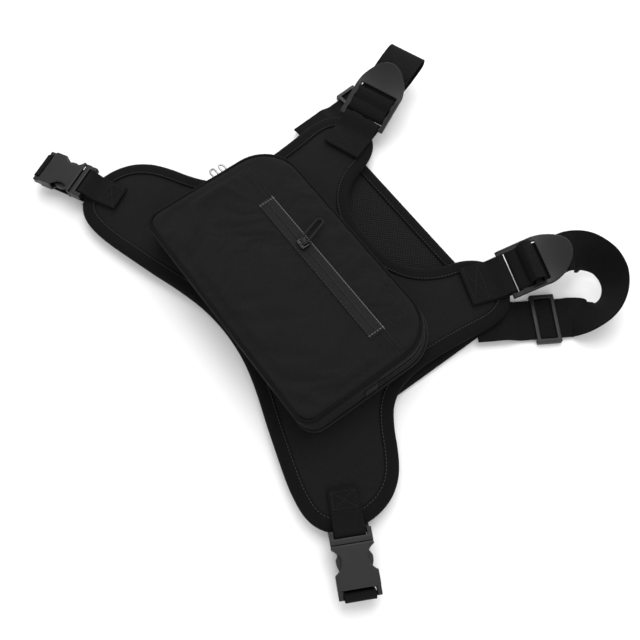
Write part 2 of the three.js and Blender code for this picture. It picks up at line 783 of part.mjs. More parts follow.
function buildSide(side, sign) {
  const buckle = new THREE.Group();
  buckle.position.set(sign * buckleX, buckleY, lockZ);
  buckle.rotation.z = -sign * THREE.MathUtils.degToRad(90 + buckleTurn);
  vest.add(buckle);
  const dipped = new THREE.Group();
  dipped.rotation.x = -THREE.MathUtils.degToRad(buckleDip);
  buckle.add(dipped);
  const anchor = strap(crossed(anchorRoute(sideAnchorLength)), sideWebWidth, 36);
  add(`side_anchor_${side}`, anchor, webbing(), buckle);
  add(`buckle_plug_${side}`, plug(), plastic(), dipped);
  for (const [edge, flip] of [['neck', -sign], ['hem', sign]]) {
    const piece = prong();
    if (flip < 0) {
      piece.scale(-1, 1, 1);
      const index = Array.from({ length: piece.attributes.position.count }, (_, i) => i).reverse();
      piece.setIndex(index);
    }
    const spring = add(`buckle_prong_${edge}_${side}`, piece, plastic(), dipped);
    spring.position.set(flip * prongSpread, mouthAt, 0);
  }
  add(`buckle_socket_${side}`, socket(), plastic(), dipped);
  add(`side_strap_${side}`, strap(crossed(sideStrapRoute()), sideWebWidth, 70), webbing(), buckle);
  const slider = add(`side_slider_${side}`, strapSlider(sideWebWidth), plastic(), buckle);
  slider.position.set(0, sideSliderAt, sideSliderZ - lockZ);
}

// ---------------------------------------------------------------- the vest

buildBackPanel();
buildFrontPanel();
buildPouch();
buildMainSliders();
buildPocket();
for (const [side, sign] of [['left', -1], ['right', 1]]) {
  buildShoulder(side, sign);
  buildSide(side, sign);
}
buildShoulderStraps();

// The origin is the middle of the vest's footprint, on the ground.
const bounds = new THREE.Box3().setFromObject(vest);
const footprint = bounds.getCenter(new THREE.Vector3());
vest.position.set(-footprint.x, -footprint.y, -bounds.min.z);

export default vest;
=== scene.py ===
# %% [markdown]
# # A chest harness vest with a zipped pouch
# The vest lies on its back. Its frame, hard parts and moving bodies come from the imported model,
# and this notebook gives it cloth, webbing, stitches, zip teeth and moulded plastic.

# %% Load the frame
import math

import bmesh
import bpy
import numpy as np
from mathutils import Matrix, Vector, geometry, noise


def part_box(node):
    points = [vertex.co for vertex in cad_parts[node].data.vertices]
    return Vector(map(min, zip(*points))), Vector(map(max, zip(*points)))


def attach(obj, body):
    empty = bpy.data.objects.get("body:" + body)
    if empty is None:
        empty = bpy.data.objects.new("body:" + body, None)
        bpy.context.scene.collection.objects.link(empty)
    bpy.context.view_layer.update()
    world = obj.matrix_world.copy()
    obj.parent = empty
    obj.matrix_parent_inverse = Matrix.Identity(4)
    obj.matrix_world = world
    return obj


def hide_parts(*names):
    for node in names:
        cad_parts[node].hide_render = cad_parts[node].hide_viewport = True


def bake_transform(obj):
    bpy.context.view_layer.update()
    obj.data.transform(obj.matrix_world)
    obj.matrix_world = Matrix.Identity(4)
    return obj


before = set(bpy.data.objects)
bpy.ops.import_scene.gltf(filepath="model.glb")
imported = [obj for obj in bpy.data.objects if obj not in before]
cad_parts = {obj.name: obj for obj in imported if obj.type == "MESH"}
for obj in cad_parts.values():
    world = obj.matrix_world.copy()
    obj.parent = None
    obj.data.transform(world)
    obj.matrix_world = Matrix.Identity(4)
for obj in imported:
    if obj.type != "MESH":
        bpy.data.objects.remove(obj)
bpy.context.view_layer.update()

# %% [markdown]
# ## Sizes
# Lengths are in millimetres in the vest's own axes, where x is 0 on the middle line and y is 0 on
# the pouch's fold line. `to_frame` turns them into metres in the frame. Heights come from the
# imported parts, so the cloth always sits where the solids are.

# %% Sizes and places
MILLIMETRE = 0.001
fold_gap = 0.15                   # from the fold line to each half of the pouch front
shift = np.array([0.0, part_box("pouch_front_upper")[0].y / MILLIMETRE - fold_gap, 0.0])
clearance = 0.3
web_thickness = 1.4


def to_frame(points):
    return (np.asarray(points, float) + shift) * MILLIMETRE


def corners(node):
    low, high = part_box(node)
    return np.array(low) / MILLIMETRE - shift, np.array(high) / MILLIMETRE - shift


shell_top = corners("back_panel_shell")[1][2]
mesh_top = corners("back_panel_mesh")[1][2]
back_top = corners("back_panel_binding")[1][2]
lining_low = corners("front_panel_lining")[0][2]
face_low, face_top = corners("front_panel_face")[0][2], corners("front_panel_face")[1][2]
panel_top = corners("front_panel_binding")[1][2]
pouch_low = corners("pouch_back")[0][2]
gusset_low = corners("pouch_gusset_bottom")[0][2]
zip_low = corners("main_zip_tape_inner")[0][2]
zip_high = corners("main_zip_tape_outer")[1][2]
lid_low = corners("pouch_gusset_outer")[0][2]
gusset_top = corners("pouch_gusset_outer")[1][2]
pouch_top = corners("pouch_front_upper")[1][2]
print("pouch from", round(pouch_low, 1), "to", round(pouch_top, 1))

# %% [markdown]
# ## Camera, floor and light
# The camera looks down on the vest from the neck side's right. Two large soft lamps and a bright
# sky show black cloth without hard shadows, and a low lamp draws a glint along the plastic.

# %% Camera, floor and light
camera_azimuth, camera_elevation = math.radians(53.3), math.radians(65.4)
camera_distance = 0.798
camera_target = Vector(to_frame([34, 6, 0]))
camera_data = bpy.data.cameras.new("camera")
camera_data.lens = 50.1
camera_data.sensor_width = 36
camera = bpy.data.objects.new("camera", camera_data)
bpy.context.collection.objects.link(camera)
camera.rotation_euler = (math.pi / 2 - camera_elevation, 0, camera_azimuth)
towards = camera.rotation_euler.to_matrix() @ Vector((0, 0, -1))
camera.location = camera_target - towards * camera_distance
bpy.context.scene.camera = camera
bpy.context.scene.view_settings.view_transform = "Standard"


def lamp(name, place, size, power):
    data = bpy.data.lights.new(name, "AREA")
    data.shape = "SQUARE"
    data.size = size
    data.energy = power
    light = bpy.data.objects.new(name, data)
    bpy.context.collection.objects.link(light)
    light.location = place
    light.rotation_euler = (Vector((0, 0, 0)) - Vector(place)).to_track_quat("-Z", "Y").to_euler()
    return light


lamp("overhead_softbox", (-0.5, 0.5, 1.7), 1.5, 22)
lamp("side_softbox", (1.3, -0.6, 1.1), 1.0, 9)
lamp("rim_softbox", (-1.2, 0.9, 0.6), 0.8, 9)
world = bpy.data.worlds.new("studio")
bpy.context.scene.world = world
world.use_nodes = True
world.node_tree.nodes["Background"].inputs["Color"].default_value = (1, 1, 1, 1)
world.node_tree.nodes["Background"].inputs["Strength"].default_value = 0.75

floor_material = bpy.data.materials.new("pale_floor")
floor_material.use_nodes = True
floor_shader = floor_material.node_tree.nodes["Principled BSDF"]
floor_shader.inputs["Base Color"].default_value = (0.88, 0.88, 0.88, 1)
floor_shader.inputs["Roughness"].default_value = 0.9
floor_mesh = bpy.data.meshes.new("floor")
reach = 6
floor_level = -0.0002
floor_corners = [(x * reach, y * reach, floor_level) for x, y in ((-1, -1), (1, -1), (1, 1), (-1, 1))]
floor_mesh.from_pydata(floor_corners, [], [(0, 1, 2, 3)])
floor_mesh.materials.append(floor_material)
floor = bpy.data.objects.new("floor", floor_mesh)
bpy.context.collection.objects.link(floor)
print("camera at", [round(c, 3) for c in camera.location])

# %% [markdown]
# ## Shader helpers
# A material here is a small graph. These helpers add a node, wire a sum, and wrap a graph as a
# group with named inputs, so that one weave serves the cloth, the tape and the webbing.

# %% Shader helpers
def wire(tree, source, socket):
    if isinstance(source, bpy.types.NodeSocket):
        tree.links.new(source, socket)
    else:
        socket.default_value = source


def calc(tree, operation, first, second=0.0):
    node = tree.nodes.new("ShaderNodeMath")
    node.operation = operation
    wire(tree, first, node.inputs[0])
    wire(tree, second, node.inputs[1])
    return node.outputs[0]


def new_group(name, inputs, outputs):
    group = bpy.data.node_groups.new(name, "ShaderNodeTree")
    for label, kind, value in inputs:
        socket = group.interface.new_socket(name=label, in_out="INPUT", socket_type=kind)
        if value is not None:
            socket.default_value = value
    for label, kind in outputs:
        group.interface.new_socket(name=label, in_out="OUTPUT", socket_type=kind)
    return group, group.nodes.new("NodeGroupInput"), group.nodes.new("NodeGroupOutput")


def noise_value(tree, vector, scale, detail=2.0):
    node = tree.nodes.new("ShaderNodeTexNoise")
    node.inputs["Scale"].default_value = scale
    node.inputs["Detail"].default_value = detail
    tree.links.new(vector, node.inputs["Vector"])
    return node.outputs["Fac"]


# %% [markdown]
# ## The weave group
# Cloth is threads that pass over and under each other. The group cuts the cloth's own map into
# cells one thread wide. In each second cell the lengthwise thread is on top, and in the others the
# crosswise one, and a sine makes each thread round. It gives a height and a painted shade: each
# thread is painted lighter on its top and darker in the hollows beside it, with a random tone added.

# %% The weave group
def build_weave():
    inputs = [("Vector", "NodeSocketVector", None), ("Across", "NodeSocketFloat", 0.8),
              ("Along", "NodeSocketFloat", 0.8)]
    group, source, result = new_group("woven_threads", inputs,
                                      [("Height", "NodeSocketFloat"), ("Shade", "NodeSocketFloat")])
    split = group.nodes.new("ShaderNodeSeparateXYZ")
    group.links.new(source.outputs["Vector"], split.inputs[0])
    u = calc(group, "DIVIDE", split.outputs[0], source.outputs["Across"])
    v = calc(group, "DIVIDE", split.outputs[1], source.outputs["Along"])
    round_u = calc(group, "SINE", calc(group, "MULTIPLY", calc(group, "FRACT", u), math.pi))
    round_v = calc(group, "SINE", calc(group, "MULTIPLY", calc(group, "FRACT", v), math.pi))
    warp = calc(group, "MULTIPLY", calc(group, "POWER", round_u, 0.5),
                calc(group, "MULTIPLY_ADD", round_v, 0.5))
    weft = calc(group, "MULTIPLY", calc(group, "POWER", round_v, 0.5),
                calc(group, "MULTIPLY_ADD", round_u, 0.5))
    for product in (warp, weft):
        product.node.inputs[1].links[0].from_node.inputs[2].default_value = 0.5
    cell = calc(group, "ADD", calc(group, "FLOOR", u), calc(group, "FLOOR", v))
    over = calc(group, "ABSOLUTE", calc(group, "MODULO", cell, 2.0))
    mix = group.nodes.new("ShaderNodeMix")
    group.links.new(over, mix.inputs["Factor"])
    group.links.new(warp, mix.inputs["A"])
    group.links.new(weft, mix.inputs["B"])
    group.links.new(mix.outputs["Result"], result.inputs["Height"])
    uneven = noise_value(group, source.outputs["Vector"], 0.9, 3.0)
    # painted shade: the colour follows the thread height, darker in the hollows between threads
    thread_painted_shade = calc(group, "MULTIPLY_ADD", mix.outputs["Result"], 0.5)
    thread_painted_shade.node.inputs[2].default_value = 0.35
    group.links.new(calc(group, "ADD", thread_painted_shade, calc(group, "MULTIPLY", uneven, 0.6)), result.inputs["Shade"])
    return group


weave = build_weave()
print("weave group has", len(weave.nodes), "nodes")

# %% [markdown]
# ## The handling group
# Black cloth picks up lint, and it is paler where hands rub it. Wide noise gives soft rubbed
# patches, and fine stretched noise gives stray fibres, and the group adds both into one tone.

# %% The handling group
def build_handling():
    inputs = [("Vector", "NodeSocketVector", None), ("Patches", "NodeSocketFloat", 0.25),
              ("Lint", "NodeSocketFloat", 0.3)]
    group, source, result = new_group("handling_marks", inputs, [("Tone", "NodeSocketFloat")])
    wide = noise_value(group, source.outputs["Vector"], 0.02, 4.0)
    stretch = group.nodes.new("ShaderNodeMapping")
    stretch.inputs["Scale"].default_value = (0.5, 1.7, 1.0)
    group.links.new(source.outputs["Vector"], stretch.inputs["Vector"])
    fine = noise_value(group, stretch.outputs[0], 0.55, 3.0)
    flecks = calc(group, "MULTIPLY", calc(group, "POWER", fine, 5.0), 13.0)
    patches = calc(group, "MULTIPLY", calc(group, "SUBTRACT", wide, 0.5), source.outputs["Patches"])
    lint = calc(group, "MULTIPLY", flecks, source.outputs["Lint"])
    tone = calc(group, "ADD", calc(group, "ADD", patches, lint), 1.0)
    group.links.new(tone, result.inputs["Tone"])
    return group


handling = build_handling()

# %% [markdown]
# ## Cloth, tape and webbing
# All the textiles share the two groups and differ in thread size, colour and sheen. The pattern
# reads each piece's own map, in millimetres, so the threads keep their size and follow the piece.

# %% Textile materials
def cloth_map(tree):
    return tree.nodes.new("ShaderNodeUVMap").outputs[0]


def textile(name, color, across, along, depth, sheen=0.25, roughness=0.85, patches=0.3, lint=0.25):
    material = bpy.data.materials.new(name)
    material.use_nodes = True
    tree = material.node_tree
    shader = tree.nodes["Principled BSDF"]
    place = cloth_map(tree)
    threads = tree.nodes.new("ShaderNodeGroup")
    threads.node_tree = weave
    tree.links.new(place, threads.inputs["Vector"])
    threads.inputs["Across"].default_value = across
    threads.inputs["Along"].default_value = along
    marks = tree.nodes.new("ShaderNodeGroup")
    marks.node_tree = handling
    tree.links.new(place, marks.inputs["Vector"])
    marks.inputs["Patches"].default_value = patches
    marks.inputs["Lint"].default_value = lint
    # the weave's painted shade between the threads, times the lint and rubbing tone
    tone = calc(tree, "MULTIPLY", threads.outputs["Shade"], marks.outputs["Tone"])
    tint = tree.nodes.new("ShaderNodeMix")
    tint.data_type = "RGBA"
    tint.inputs["A"].default_value = (0, 0, 0, 1)
    tint.inputs["B"].default_value = (*[c * 1.5 for c in color], 1)
    tree.links.new(calc(tree, "MULTIPLY", tone, 0.75), tint.inputs["Factor"])
    tree.links.new(tint.outputs["Result"], shader.inputs["Base Color"])
    bump = tree.nodes.new("ShaderNodeBump")
    bump.inputs["Strength"].default_value = 0.9
    bump.inputs["Distance"].default_value = depth * MILLIMETRE
    tree.links.new(threads.outputs["Height"], bump.inputs["Height"])
    tree.links.new(bump.outputs[0], shader.inputs["Normal"])
    shader.inputs["Roughness"].default_value = roughness
    shader.inputs["Sheen Weight"].default_value = sheen
    shader.inputs["Sheen Roughness"].default_value = 0.5
    shader.inputs["Specular IOR Level"].default_value = 0.06
    return material


face_cloth = textile("oxford_cloth", (0.006, 0.006, 0.0063), 0.8, 0.8, 0.2,
                     sheen=0.02, patches=0.7, lint=1.1)
band_cloth = textile("band_cloth", (0.0098, 0.0098, 0.0102), 0.7, 0.7, 0.14, sheen=0.02, lint=0.8)
edge_tape = textile("edge_tape", (0.0036, 0.0036, 0.0038), 0.6, 1.1, 0.14, sheen=0.01, lint=0.5)
webbing_cloth = textile("ribbed_webbing", (0.0042, 0.0042, 0.0045), 1.6, 0.9, 0.35,
                        sheen=0.01, roughness=0.7)
zip_cloth = textile("zip_tape", (0.003, 0.003, 0.0032), 0.7, 0.5, 0.12, sheen=0.01)
cord_cloth = textile("pull_cord", (0.013, 0.013, 0.0135), 0.9, 0.9, 0.25, sheen=0.02, roughness=0.75)
stitch_thread = textile("stitch_thread", (0.045, 0.045, 0.047), 0.3, 0.3, 0.05, sheen=0.03, roughness=0.7)
# a lighter copy of the stitch thread, a painted highlight for rows that catch the light
painted_highlight_thread = textile("painted_highlight_thread", (0.12, 0.12, 0.122), 0.3, 0.3, 0.05, sheen=0.03, roughness=0.65)
dark_thread = textile("dark_thread", (0.016, 0.016, 0.017), 0.3, 0.3, 0.05, sheen=0.02, roughness=0.7)
print("textiles", [m.name for m in bpy.data.materials if m.users or True][:9])

# %% [markdown]
# ## Mesh cloth
# The back panel is a knitted spacer mesh with a hole in every stitch. A Voronoi pattern with no
# randomness, turned by 45 degrees, gives the diagonal rows of holes. They are bumped and painted
# darker towards their middles, as a painted shade inside each hole.

# %% Mesh cloth material
def mesh_cloth(name, color, pitch):
    material = textile(name, color, 0.9, 0.6, 0.15, sheen=0.04)
    tree = material.node_tree
    shader = tree.nodes["Principled BSDF"]
    turn = tree.nodes.new("ShaderNodeMapping")
    turn.inputs["Rotation"].default_value = (0, 0, math.radians(45))
    turn.inputs["Scale"].default_value = (1 / pitch, 1 / pitch, 1)
    tree.links.new(cloth_map(tree), turn.inputs["Vector"])
    cells = tree.nodes.new("ShaderNodeTexVoronoi")
    cells.inputs["Scale"].default_value = 1
    cells.inputs["Randomness"].default_value = 0
    tree.links.new(turn.outputs[0], cells.inputs["Vector"])
    rim = tree.nodes.new("ShaderNodeMapRange")
    rim.interpolation_type = "SMOOTHSTEP"
    rim.inputs["From Min"].default_value = 0.18
    rim.inputs["From Max"].default_value = 0.42
    tree.links.new(cells.outputs["Distance"], rim.inputs["Value"])
    tint = shader.inputs["Base Color"].links[0].from_node
    tone = tint.inputs["Factor"].links[0].from_socket
    # painted shade: the colour darkens towards the middle of each hole
    hole_painted_shade = calc(tree, "MULTIPLY_ADD", rim.outputs[0], 0.8)
    hole_painted_shade.node.inputs[2].default_value = 0.2
    tree.links.new(calc(tree, "MULTIPLY", tone, hole_painted_shade), tint.inputs["Factor"])
    bump = shader.inputs["Normal"].links[0].from_node
    bump.inputs["Distance"].default_value = 0.9 * MILLIMETRE
    tree.links.new(rim.outputs[0], bump.inputs["Height"])
    return material


mesh_fabric = mesh_cloth("spacer_mesh", (0.008, 0.008, 0.0085), 2.3)
print("mesh cloth done")

# %% [markdown]
# ## Moulded plastic and metal
# The locks and buckles are moulded acetal with a fine spark texture, a little glossier where they
# rub. The zip sliders are plated zinc with faint scratches.

# %% Plastic and metal materials
def hard_material(name, color, metallic, low, high, grain, depth, stretch=(1, 1, 1)):
    material = bpy.data.materials.new(name)
    material.use_nodes = True
    tree = material.node_tree
    shader = tree.nodes["Principled BSDF"]
    place = tree.nodes.new("ShaderNodeTexCoord").outputs["Object"]
    turn = tree.nodes.new("ShaderNodeMapping")
    turn.inputs["Scale"].default_value = stretch
    tree.links.new(place, turn.inputs["Vector"])
    fine = noise_value(tree, turn.outputs[0], grain, 3.0)
    wide = noise_value(tree, place, 60.0, 3.0)
    spread = tree.nodes.new("ShaderNodeMapRange")
    spread.inputs["To Min"].default_value = low
    spread.inputs["To Max"].default_value = high
    tree.links.new(wide, spread.inputs["Value"])
    tree.links.new(spread.outputs[0], shader.inputs["Roughness"])
    tint = tree.nodes.new("ShaderNodeMix")
    tint.data_type = "RGBA"
    tint.inputs["A"].default_value = (*[c * 0.75 for c in color], 1)
    tint.inputs["B"].default_value = (*[c * 1.25 for c in color], 1)
    tree.links.new(calc(tree, "ADD", calc(tree, "MULTIPLY", wide, 0.6), calc(tree, "MULTIPLY", fine, 0.4)),
                   tint.inputs["Factor"])
    tree.links.new(tint.outputs["Result"], shader.inputs["Base Color"])
    bump = tree.nodes.new("ShaderNodeBump")
    bump.inputs["Strength"].default_value = 0.35
    bump.inputs["Distance"].default_value = depth * MILLIMETRE
    tree.links.new(fine, bump.inputs["Height"])
    tree.links.new(bump.outputs[0], shader.inputs["Normal"])
    shader.inputs["Metallic"].default_value = metallic
    shader.inputs["Specular IOR Level"].default_value = 0.3
    return material


moulded = hard_material("moulded_plastic", (0.0065, 0.0065, 0.007), 0.0, 0.34, 0.5, 2600.0, 0.08)
plated = hard_material("plated_zinc", (0.3, 0.3, 0.31), 1.0, 0.22, 0.4, 900.0, 0.05, stretch=(1, 6, 1))
black_metal = hard_material("black_slider", (0.005, 0.005, 0.0055), 0.0, 0.25, 0.4, 1800.0, 0.05)
coil = hard_material("zip_coil", (0.005, 0.005, 0.0055), 0.0, 0.35, 0.5, 2000.0, 0.03)

# %% [markdown]
# ## Mesh helpers
# `make` turns millimetre points into an object in the frame, with a map in millimetres for the
# cloth patterns. `skin` lays faces through a row of rings, which makes straps, tapes and pipings.

# %% Mesh helpers
def make(name, points, faces, material, maps=None, smooth=True):
    mesh = bpy.data.meshes.new(name)
    mesh.from_pydata([tuple(p) for p in to_frame(points)], [], faces)
    if maps is not None:
        layer = mesh.uv_layers.new(name="cloth")
        layer.data.foreach_set("uv", np.asarray(maps, np.float32).ravel())
    mesh.materials.append(material)
    mesh.update()
    if smooth:
        mesh.shade_smooth()
    piece = bpy.data.objects.new(name, mesh)
    bpy.context.collection.objects.link(piece)
    return piece


def lengths_along(points, closed):
    steps = np.linalg.norm(np.diff(points, axis=0, append=points[:1] if closed else None), axis=1) \
        if closed else np.linalg.norm(np.diff(points, axis=0), axis=1)
    return np.concatenate([[0], np.cumsum(steps)])


def skin(name, rings, material, closed=False, smooth=True):
    """Faces through equal rings of points. The map runs round each ring and along the row."""
    rings = np.asarray(rings, float)
    count, around = rings.shape[:2]
    run = lengths_along(rings.mean(axis=1), closed)
    girth = lengths_along(rings[count // 2], True)
    faces, maps = [], []
    for i in range(count if closed else count - 1):
        after = (i + 1) % count
        for j in range(around):
            k = (j + 1) % around
            faces.append((i * around + j, i * around + k, after * around + k, after * around + j))
            near, far = run[i], run[i + 1]
            maps += [(girth[j], near), (girth[j + 1], near), (girth[j + 1], far), (girth[j], far)]
    if not closed:
        for ring, order in ((0, range(around - 1, -1, -1)), (count - 1, range(around))):
            faces.append(tuple(ring * around + j for j in order))
            maps += [(girth[j], 0.0) for j in order]
    piece = make(name, rings.reshape(-1, 3), faces, material, maps, smooth)
    return face_out(piece)


def face_out(piece):
    shape = bmesh.new()
    shape.from_mesh(piece.data)
    if shape.calc_volume(signed=True) < 0:
        bmesh.ops.reverse_faces(shape, faces=shape.faces)
    shape.to_mesh(piece.data)
    shape.free()
    return piece


def finish_piece(piece, body, slot, *nodes):
    if nodes:
        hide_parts(*nodes)
    if body:
        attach(piece, body)
    print(piece.name, len(piece.data.polygons), "faces")
    return piece


# %% [markdown]
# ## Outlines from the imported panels
# A panel's cut is already in the frame, so its outline is read from the top of its solid: the
# edges that only one top face uses, walked in order. It is then spaced out evenly.

# %% Outlines
def node_outline(node, spacing):
    shape = bmesh.new()
    shape.from_mesh(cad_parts[node].data)
    bmesh.ops.remove_doubles(shape, verts=shape.verts, dist=1e-5)
    top = max(v.co.z for v in shape.verts)
    flat = [f for f in shape.faces if all(top - v.co.z < 1e-5 for v in f.verts)]
    chosen = set(flat)
    follow = {}
    for face in flat:
        for loop in face.loops:
            if not any(other.face in chosen for other in loop.edge.link_loops if other is not loop):
                follow[loop.vert.index] = loop.link_loop_next.vert.index
    shape.verts.ensure_lookup_table()
    start = at = next(iter(follow))
    walked = []
    while True:
        walked.append(shape.verts[at].co.copy())
        at = follow[at]
        if at == start:
            break
    shape.free()
    outline = (np.array(walked)[:, :2] / MILLIMETRE) - shift[:2]
    return even(outline, spacing)


def even(outline, spacing):
    """The same closed outline with points at an even spacing, smoothed a little."""
    run = lengths_along(outline, True)
    count = int(run[-1] / spacing)
    at = np.linspace(0, run[-1], count, endpoint=False)
    closed = np.vstack([outline, outline[:1]])
    spaced = np.stack([np.interp(at, run, closed[:, k]) for k in range(2)], axis=1)
    for _ in range(3):
        spaced = (np.roll(spaced, 1, 0) + 2 * spaced + np.roll(spaced, -1, 0)) / 4
    return spaced


def normals_out(outline):
    """The outward direction at each point of an anticlockwise outline."""
    along = np.roll(outline, -1, 0) - np.roll(outline, 1, 0)
    along /= np.linalg.norm(along, axis=1)[:, None]
    return np.stack([along[:, 1], -along[:, 0]], axis=1)


def moved_in(outline, distance):
    return outline - normals_out(outline) * distance


def edge_distance(points, outline):
    ends = np.roll(outline, -1, 0)
    step = ends - outline
    nearest = np.full(len(points), 1e9)
    for start, way in zip(outline, step):
        t = np.clip(((points - start) @ way) / (way @ way), 0, 1)
        nearest = np.minimum(nearest, np.linalg.norm(points - start - t[:, None] * way, axis=1))
    return nearest


def inside(points, outline):
    ends = np.roll(outline, -1, 0)
    found = np.zeros(len(points), bool)
    for (ax, ay), (bx, by) in zip(outline, ends):
        if ay == by:
            continue
        crosses = (ay > points[:, 1]) != (by > points[:, 1])
        found ^= crosses & (points[:, 0] < ax + (points[:, 1] - ay) * (bx - ax) / (by - ay))
    return found


# %% [markdown]
# ## Cut cloth
# A cut piece is a net of even triangles inside its outline, so that it can crown, dip and crease
# anywhere. `cut_cloth` makes the net and lifts two layers of it by the height functions it gets,
# and closes them along the edge.

# %% Cut cloth
def net(outline, pitch):
    low, high = outline.min(axis=0), outline.max(axis=0)
    rows = np.arange(low[1], high[1], pitch * 0.866)
    grid = []
    for number, y in enumerate(rows):
        xs = np.arange(low[0] + (number % 2) * pitch / 2, high[0], pitch)
        grid.append(np.stack([xs, np.full(len(xs), y)], axis=1))
    grid = np.vstack(grid)
    grid = grid[inside(grid, outline)]
    grid = grid[edge_distance(grid, outline) > 0.55 * pitch]
    every = np.vstack([outline, grid])
    count = len(outline)
    rim = [(i, (i + 1) % count) for i in range(count)]
    spots, _, triangles, origins, _, _ = geometry.delaunay_2d_cdt(
        [Vector(p) for p in every], rim, [], 1, 1e-6)
    place = np.array([tuple(s) for s in spots])
    where = {}
    for index, sources in enumerate(origins):
        for source in sources:
            where[source] = index
    return place, [tuple(t) for t in triangles], [where[i] for i in range(count)]


def cut_cloth(name, outline, pitch, top, bottom, material):
    place, triangles, rim = net(outline, pitch)
    gap = edge_distance(place, outline)
    count = len(place)
    upper = np.column_stack([place, top(place, gap)])
    lower = np.column_stack([place, bottom(place, gap)])
    faces = list(triangles) + [tuple(count + i for i in reversed(t)) for t in triangles]
    for i, j in zip(rim, rim[1:] + rim[:1]):
        faces.append((j, i, count + i, count + j))
    points = np.vstack([upper, lower])
    maps = [tuple(points[i][:2]) for face in faces for i in face]
    piece = make(name, points, faces, material, maps)
    return face_out(piece)


def ripple(points, size, seed, stretch=(1.0, 1.0)):
    """Smooth noise from -1 to 1 at each point, with waves about size millimetres wide."""
    return np.array([noise.noise(Vector((p[0] * stretch[0] / size, p[1] * stretch[1] / size, seed)))
                     for p in points])


# %% [markdown]
# ## Stitches and zip teeth
# A row of stitches is one tiny shape repeated along a path. This Geometry Nodes tree spaces points
# along the path, turns each copy to face along it and out of the cloth, and realises the copies.
# Sizes, spacing and the random seed are inputs, so that it also makes zip teeth.

# %% The row-along-a-path tree
def build_row_tree():
    tree = bpy.data.node_groups.new("row_along_path", "GeometryNodeTree")
    face = tree.interface
    face.new_socket(name="Path", in_out="INPUT", socket_type="NodeSocketGeometry")
    for label, kind, value in [("Pitch", "NodeSocketFloat", 0.003), ("Size", "NodeSocketVector", (1, 1, 1)),
                               ("Lean", "NodeSocketFloat", 0.0), ("Wobble", "NodeSocketFloat", 0.05),
                               ("Seed", "NodeSocketInt", 1), ("Round", "NodeSocketBool", True),
                               ("Finish", "NodeSocketMaterial", None)]:
        socket = face.new_socket(name=label, in_out="INPUT", socket_type=kind)
        if value is not None:
            socket.default_value = value
    face.new_socket(name="Row", in_out="OUTPUT", socket_type="NodeSocketGeometry")
    nodes, links = tree.nodes, tree.links
    source, result = nodes.new("NodeGroupInput"), nodes.new("NodeGroupOutput")
    path = nodes.new("GeometryNodeMeshToCurve")
    spaced = nodes.new("GeometryNodeResampleCurve")
    spaced.mode = "LENGTH"
    dots = nodes.new("GeometryNodeCurveToPoints")
    dots.mode = "EVALUATED"
    out = nodes.new("GeometryNodeInputNamedAttribute")
    out.data_type = "FLOAT_VECTOR"
    out.inputs["Name"].default_value = "outward"
    along = nodes.new("FunctionNodeAlignRotationToVector")
    along.axis = "X"
    upright = nodes.new("FunctionNodeAlignRotationToVector")
    upright.axis, upright.pivot_axis = "Z", "X"
    chance = nodes.new("FunctionNodeRandomValue")
    chance.data_type = "FLOAT"
    low_chance = nodes.new("ShaderNodeMath")
    low_chance.operation = "MULTIPLY"
    low_chance.inputs[1].default_value = -1
    lean = nodes.new("ShaderNodeMath")
    lean.operation = "ADD"
    turn = nodes.new("ShaderNodeCombineXYZ")
    tilt = nodes.new("FunctionNodeRotateRotation")
    tilt.rotation_space = "LOCAL"
    bead = nodes.new("GeometryNodeMeshUVSphere")
    bead.inputs["Segments"].default_value = 6
    bead.inputs["Rings"].default_value = 4
    bead.inputs["Radius"].default_value = 0.5
    block = nodes.new("GeometryNodeMeshCube")
    choose = nodes.new("GeometryNodeSwitch")
    choose.input_type = "GEOMETRY"
    copies = nodes.new("GeometryNodeInstanceOnPoints")
    real = nodes.new("GeometryNodeRealizeInstances")
    paint = nodes.new("GeometryNodeSetMaterial")
    links.new(source.outputs["Path"], path.inputs[0])
    links.new(path.outputs[0], spaced.inputs["Curve"])
    links.new(source.outputs["Pitch"], spaced.inputs["Length"])
    links.new(spaced.outputs[0], dots.inputs[0])
    links.new(dots.outputs["Tangent"], along.inputs["Vector"])
    links.new(along.outputs[0], upright.inputs["Rotation"])
    links.new(out.outputs["Attribute"], upright.inputs["Vector"])
    links.new(source.outputs["Wobble"], low_chance.inputs[0])
    links.new(low_chance.outputs[0], chance.inputs[2])
    links.new(source.outputs["Wobble"], chance.inputs[3])
    links.new(source.outputs["Seed"], chance.inputs["Seed"])
    links.new(chance.outputs[1], lean.inputs[0])
    links.new(source.outputs["Lean"], lean.inputs[1])
    links.new(lean.outputs[0], turn.inputs["Z"])
    links.new(upright.outputs[0], tilt.inputs["Rotation"])
    to_turn = nodes.new("FunctionNodeEulerToRotation")
    links.new(turn.outputs[0], to_turn.inputs[0])
    links.new(to_turn.outputs[0], tilt.inputs["Rotate By"])
    links.new(source.outputs["Round"], choose.inputs["Switch"])
    links.new(block.outputs[0], choose.inputs["False"])
    links.new(bead.outputs[0], choose.inputs["True"])
    links.new(dots.outputs["Points"], copies.inputs["Points"])
    links.new(choose.outputs[0], copies.inputs["Instance"])
    links.new(tilt.outputs[0], copies.inputs["Rotation"])
    links.new(source.outputs["Size"], copies.inputs["Scale"])
    links.new(copies.outputs[0], real.inputs[0])
    links.new(real.outputs[0], paint.inputs["Geometry"])
    links.new(source.outputs["Finish"], paint.inputs["Material"])
    links.new(paint.outputs[0], result.inputs["Row"])
    return tree


row_tree = build_row_tree()


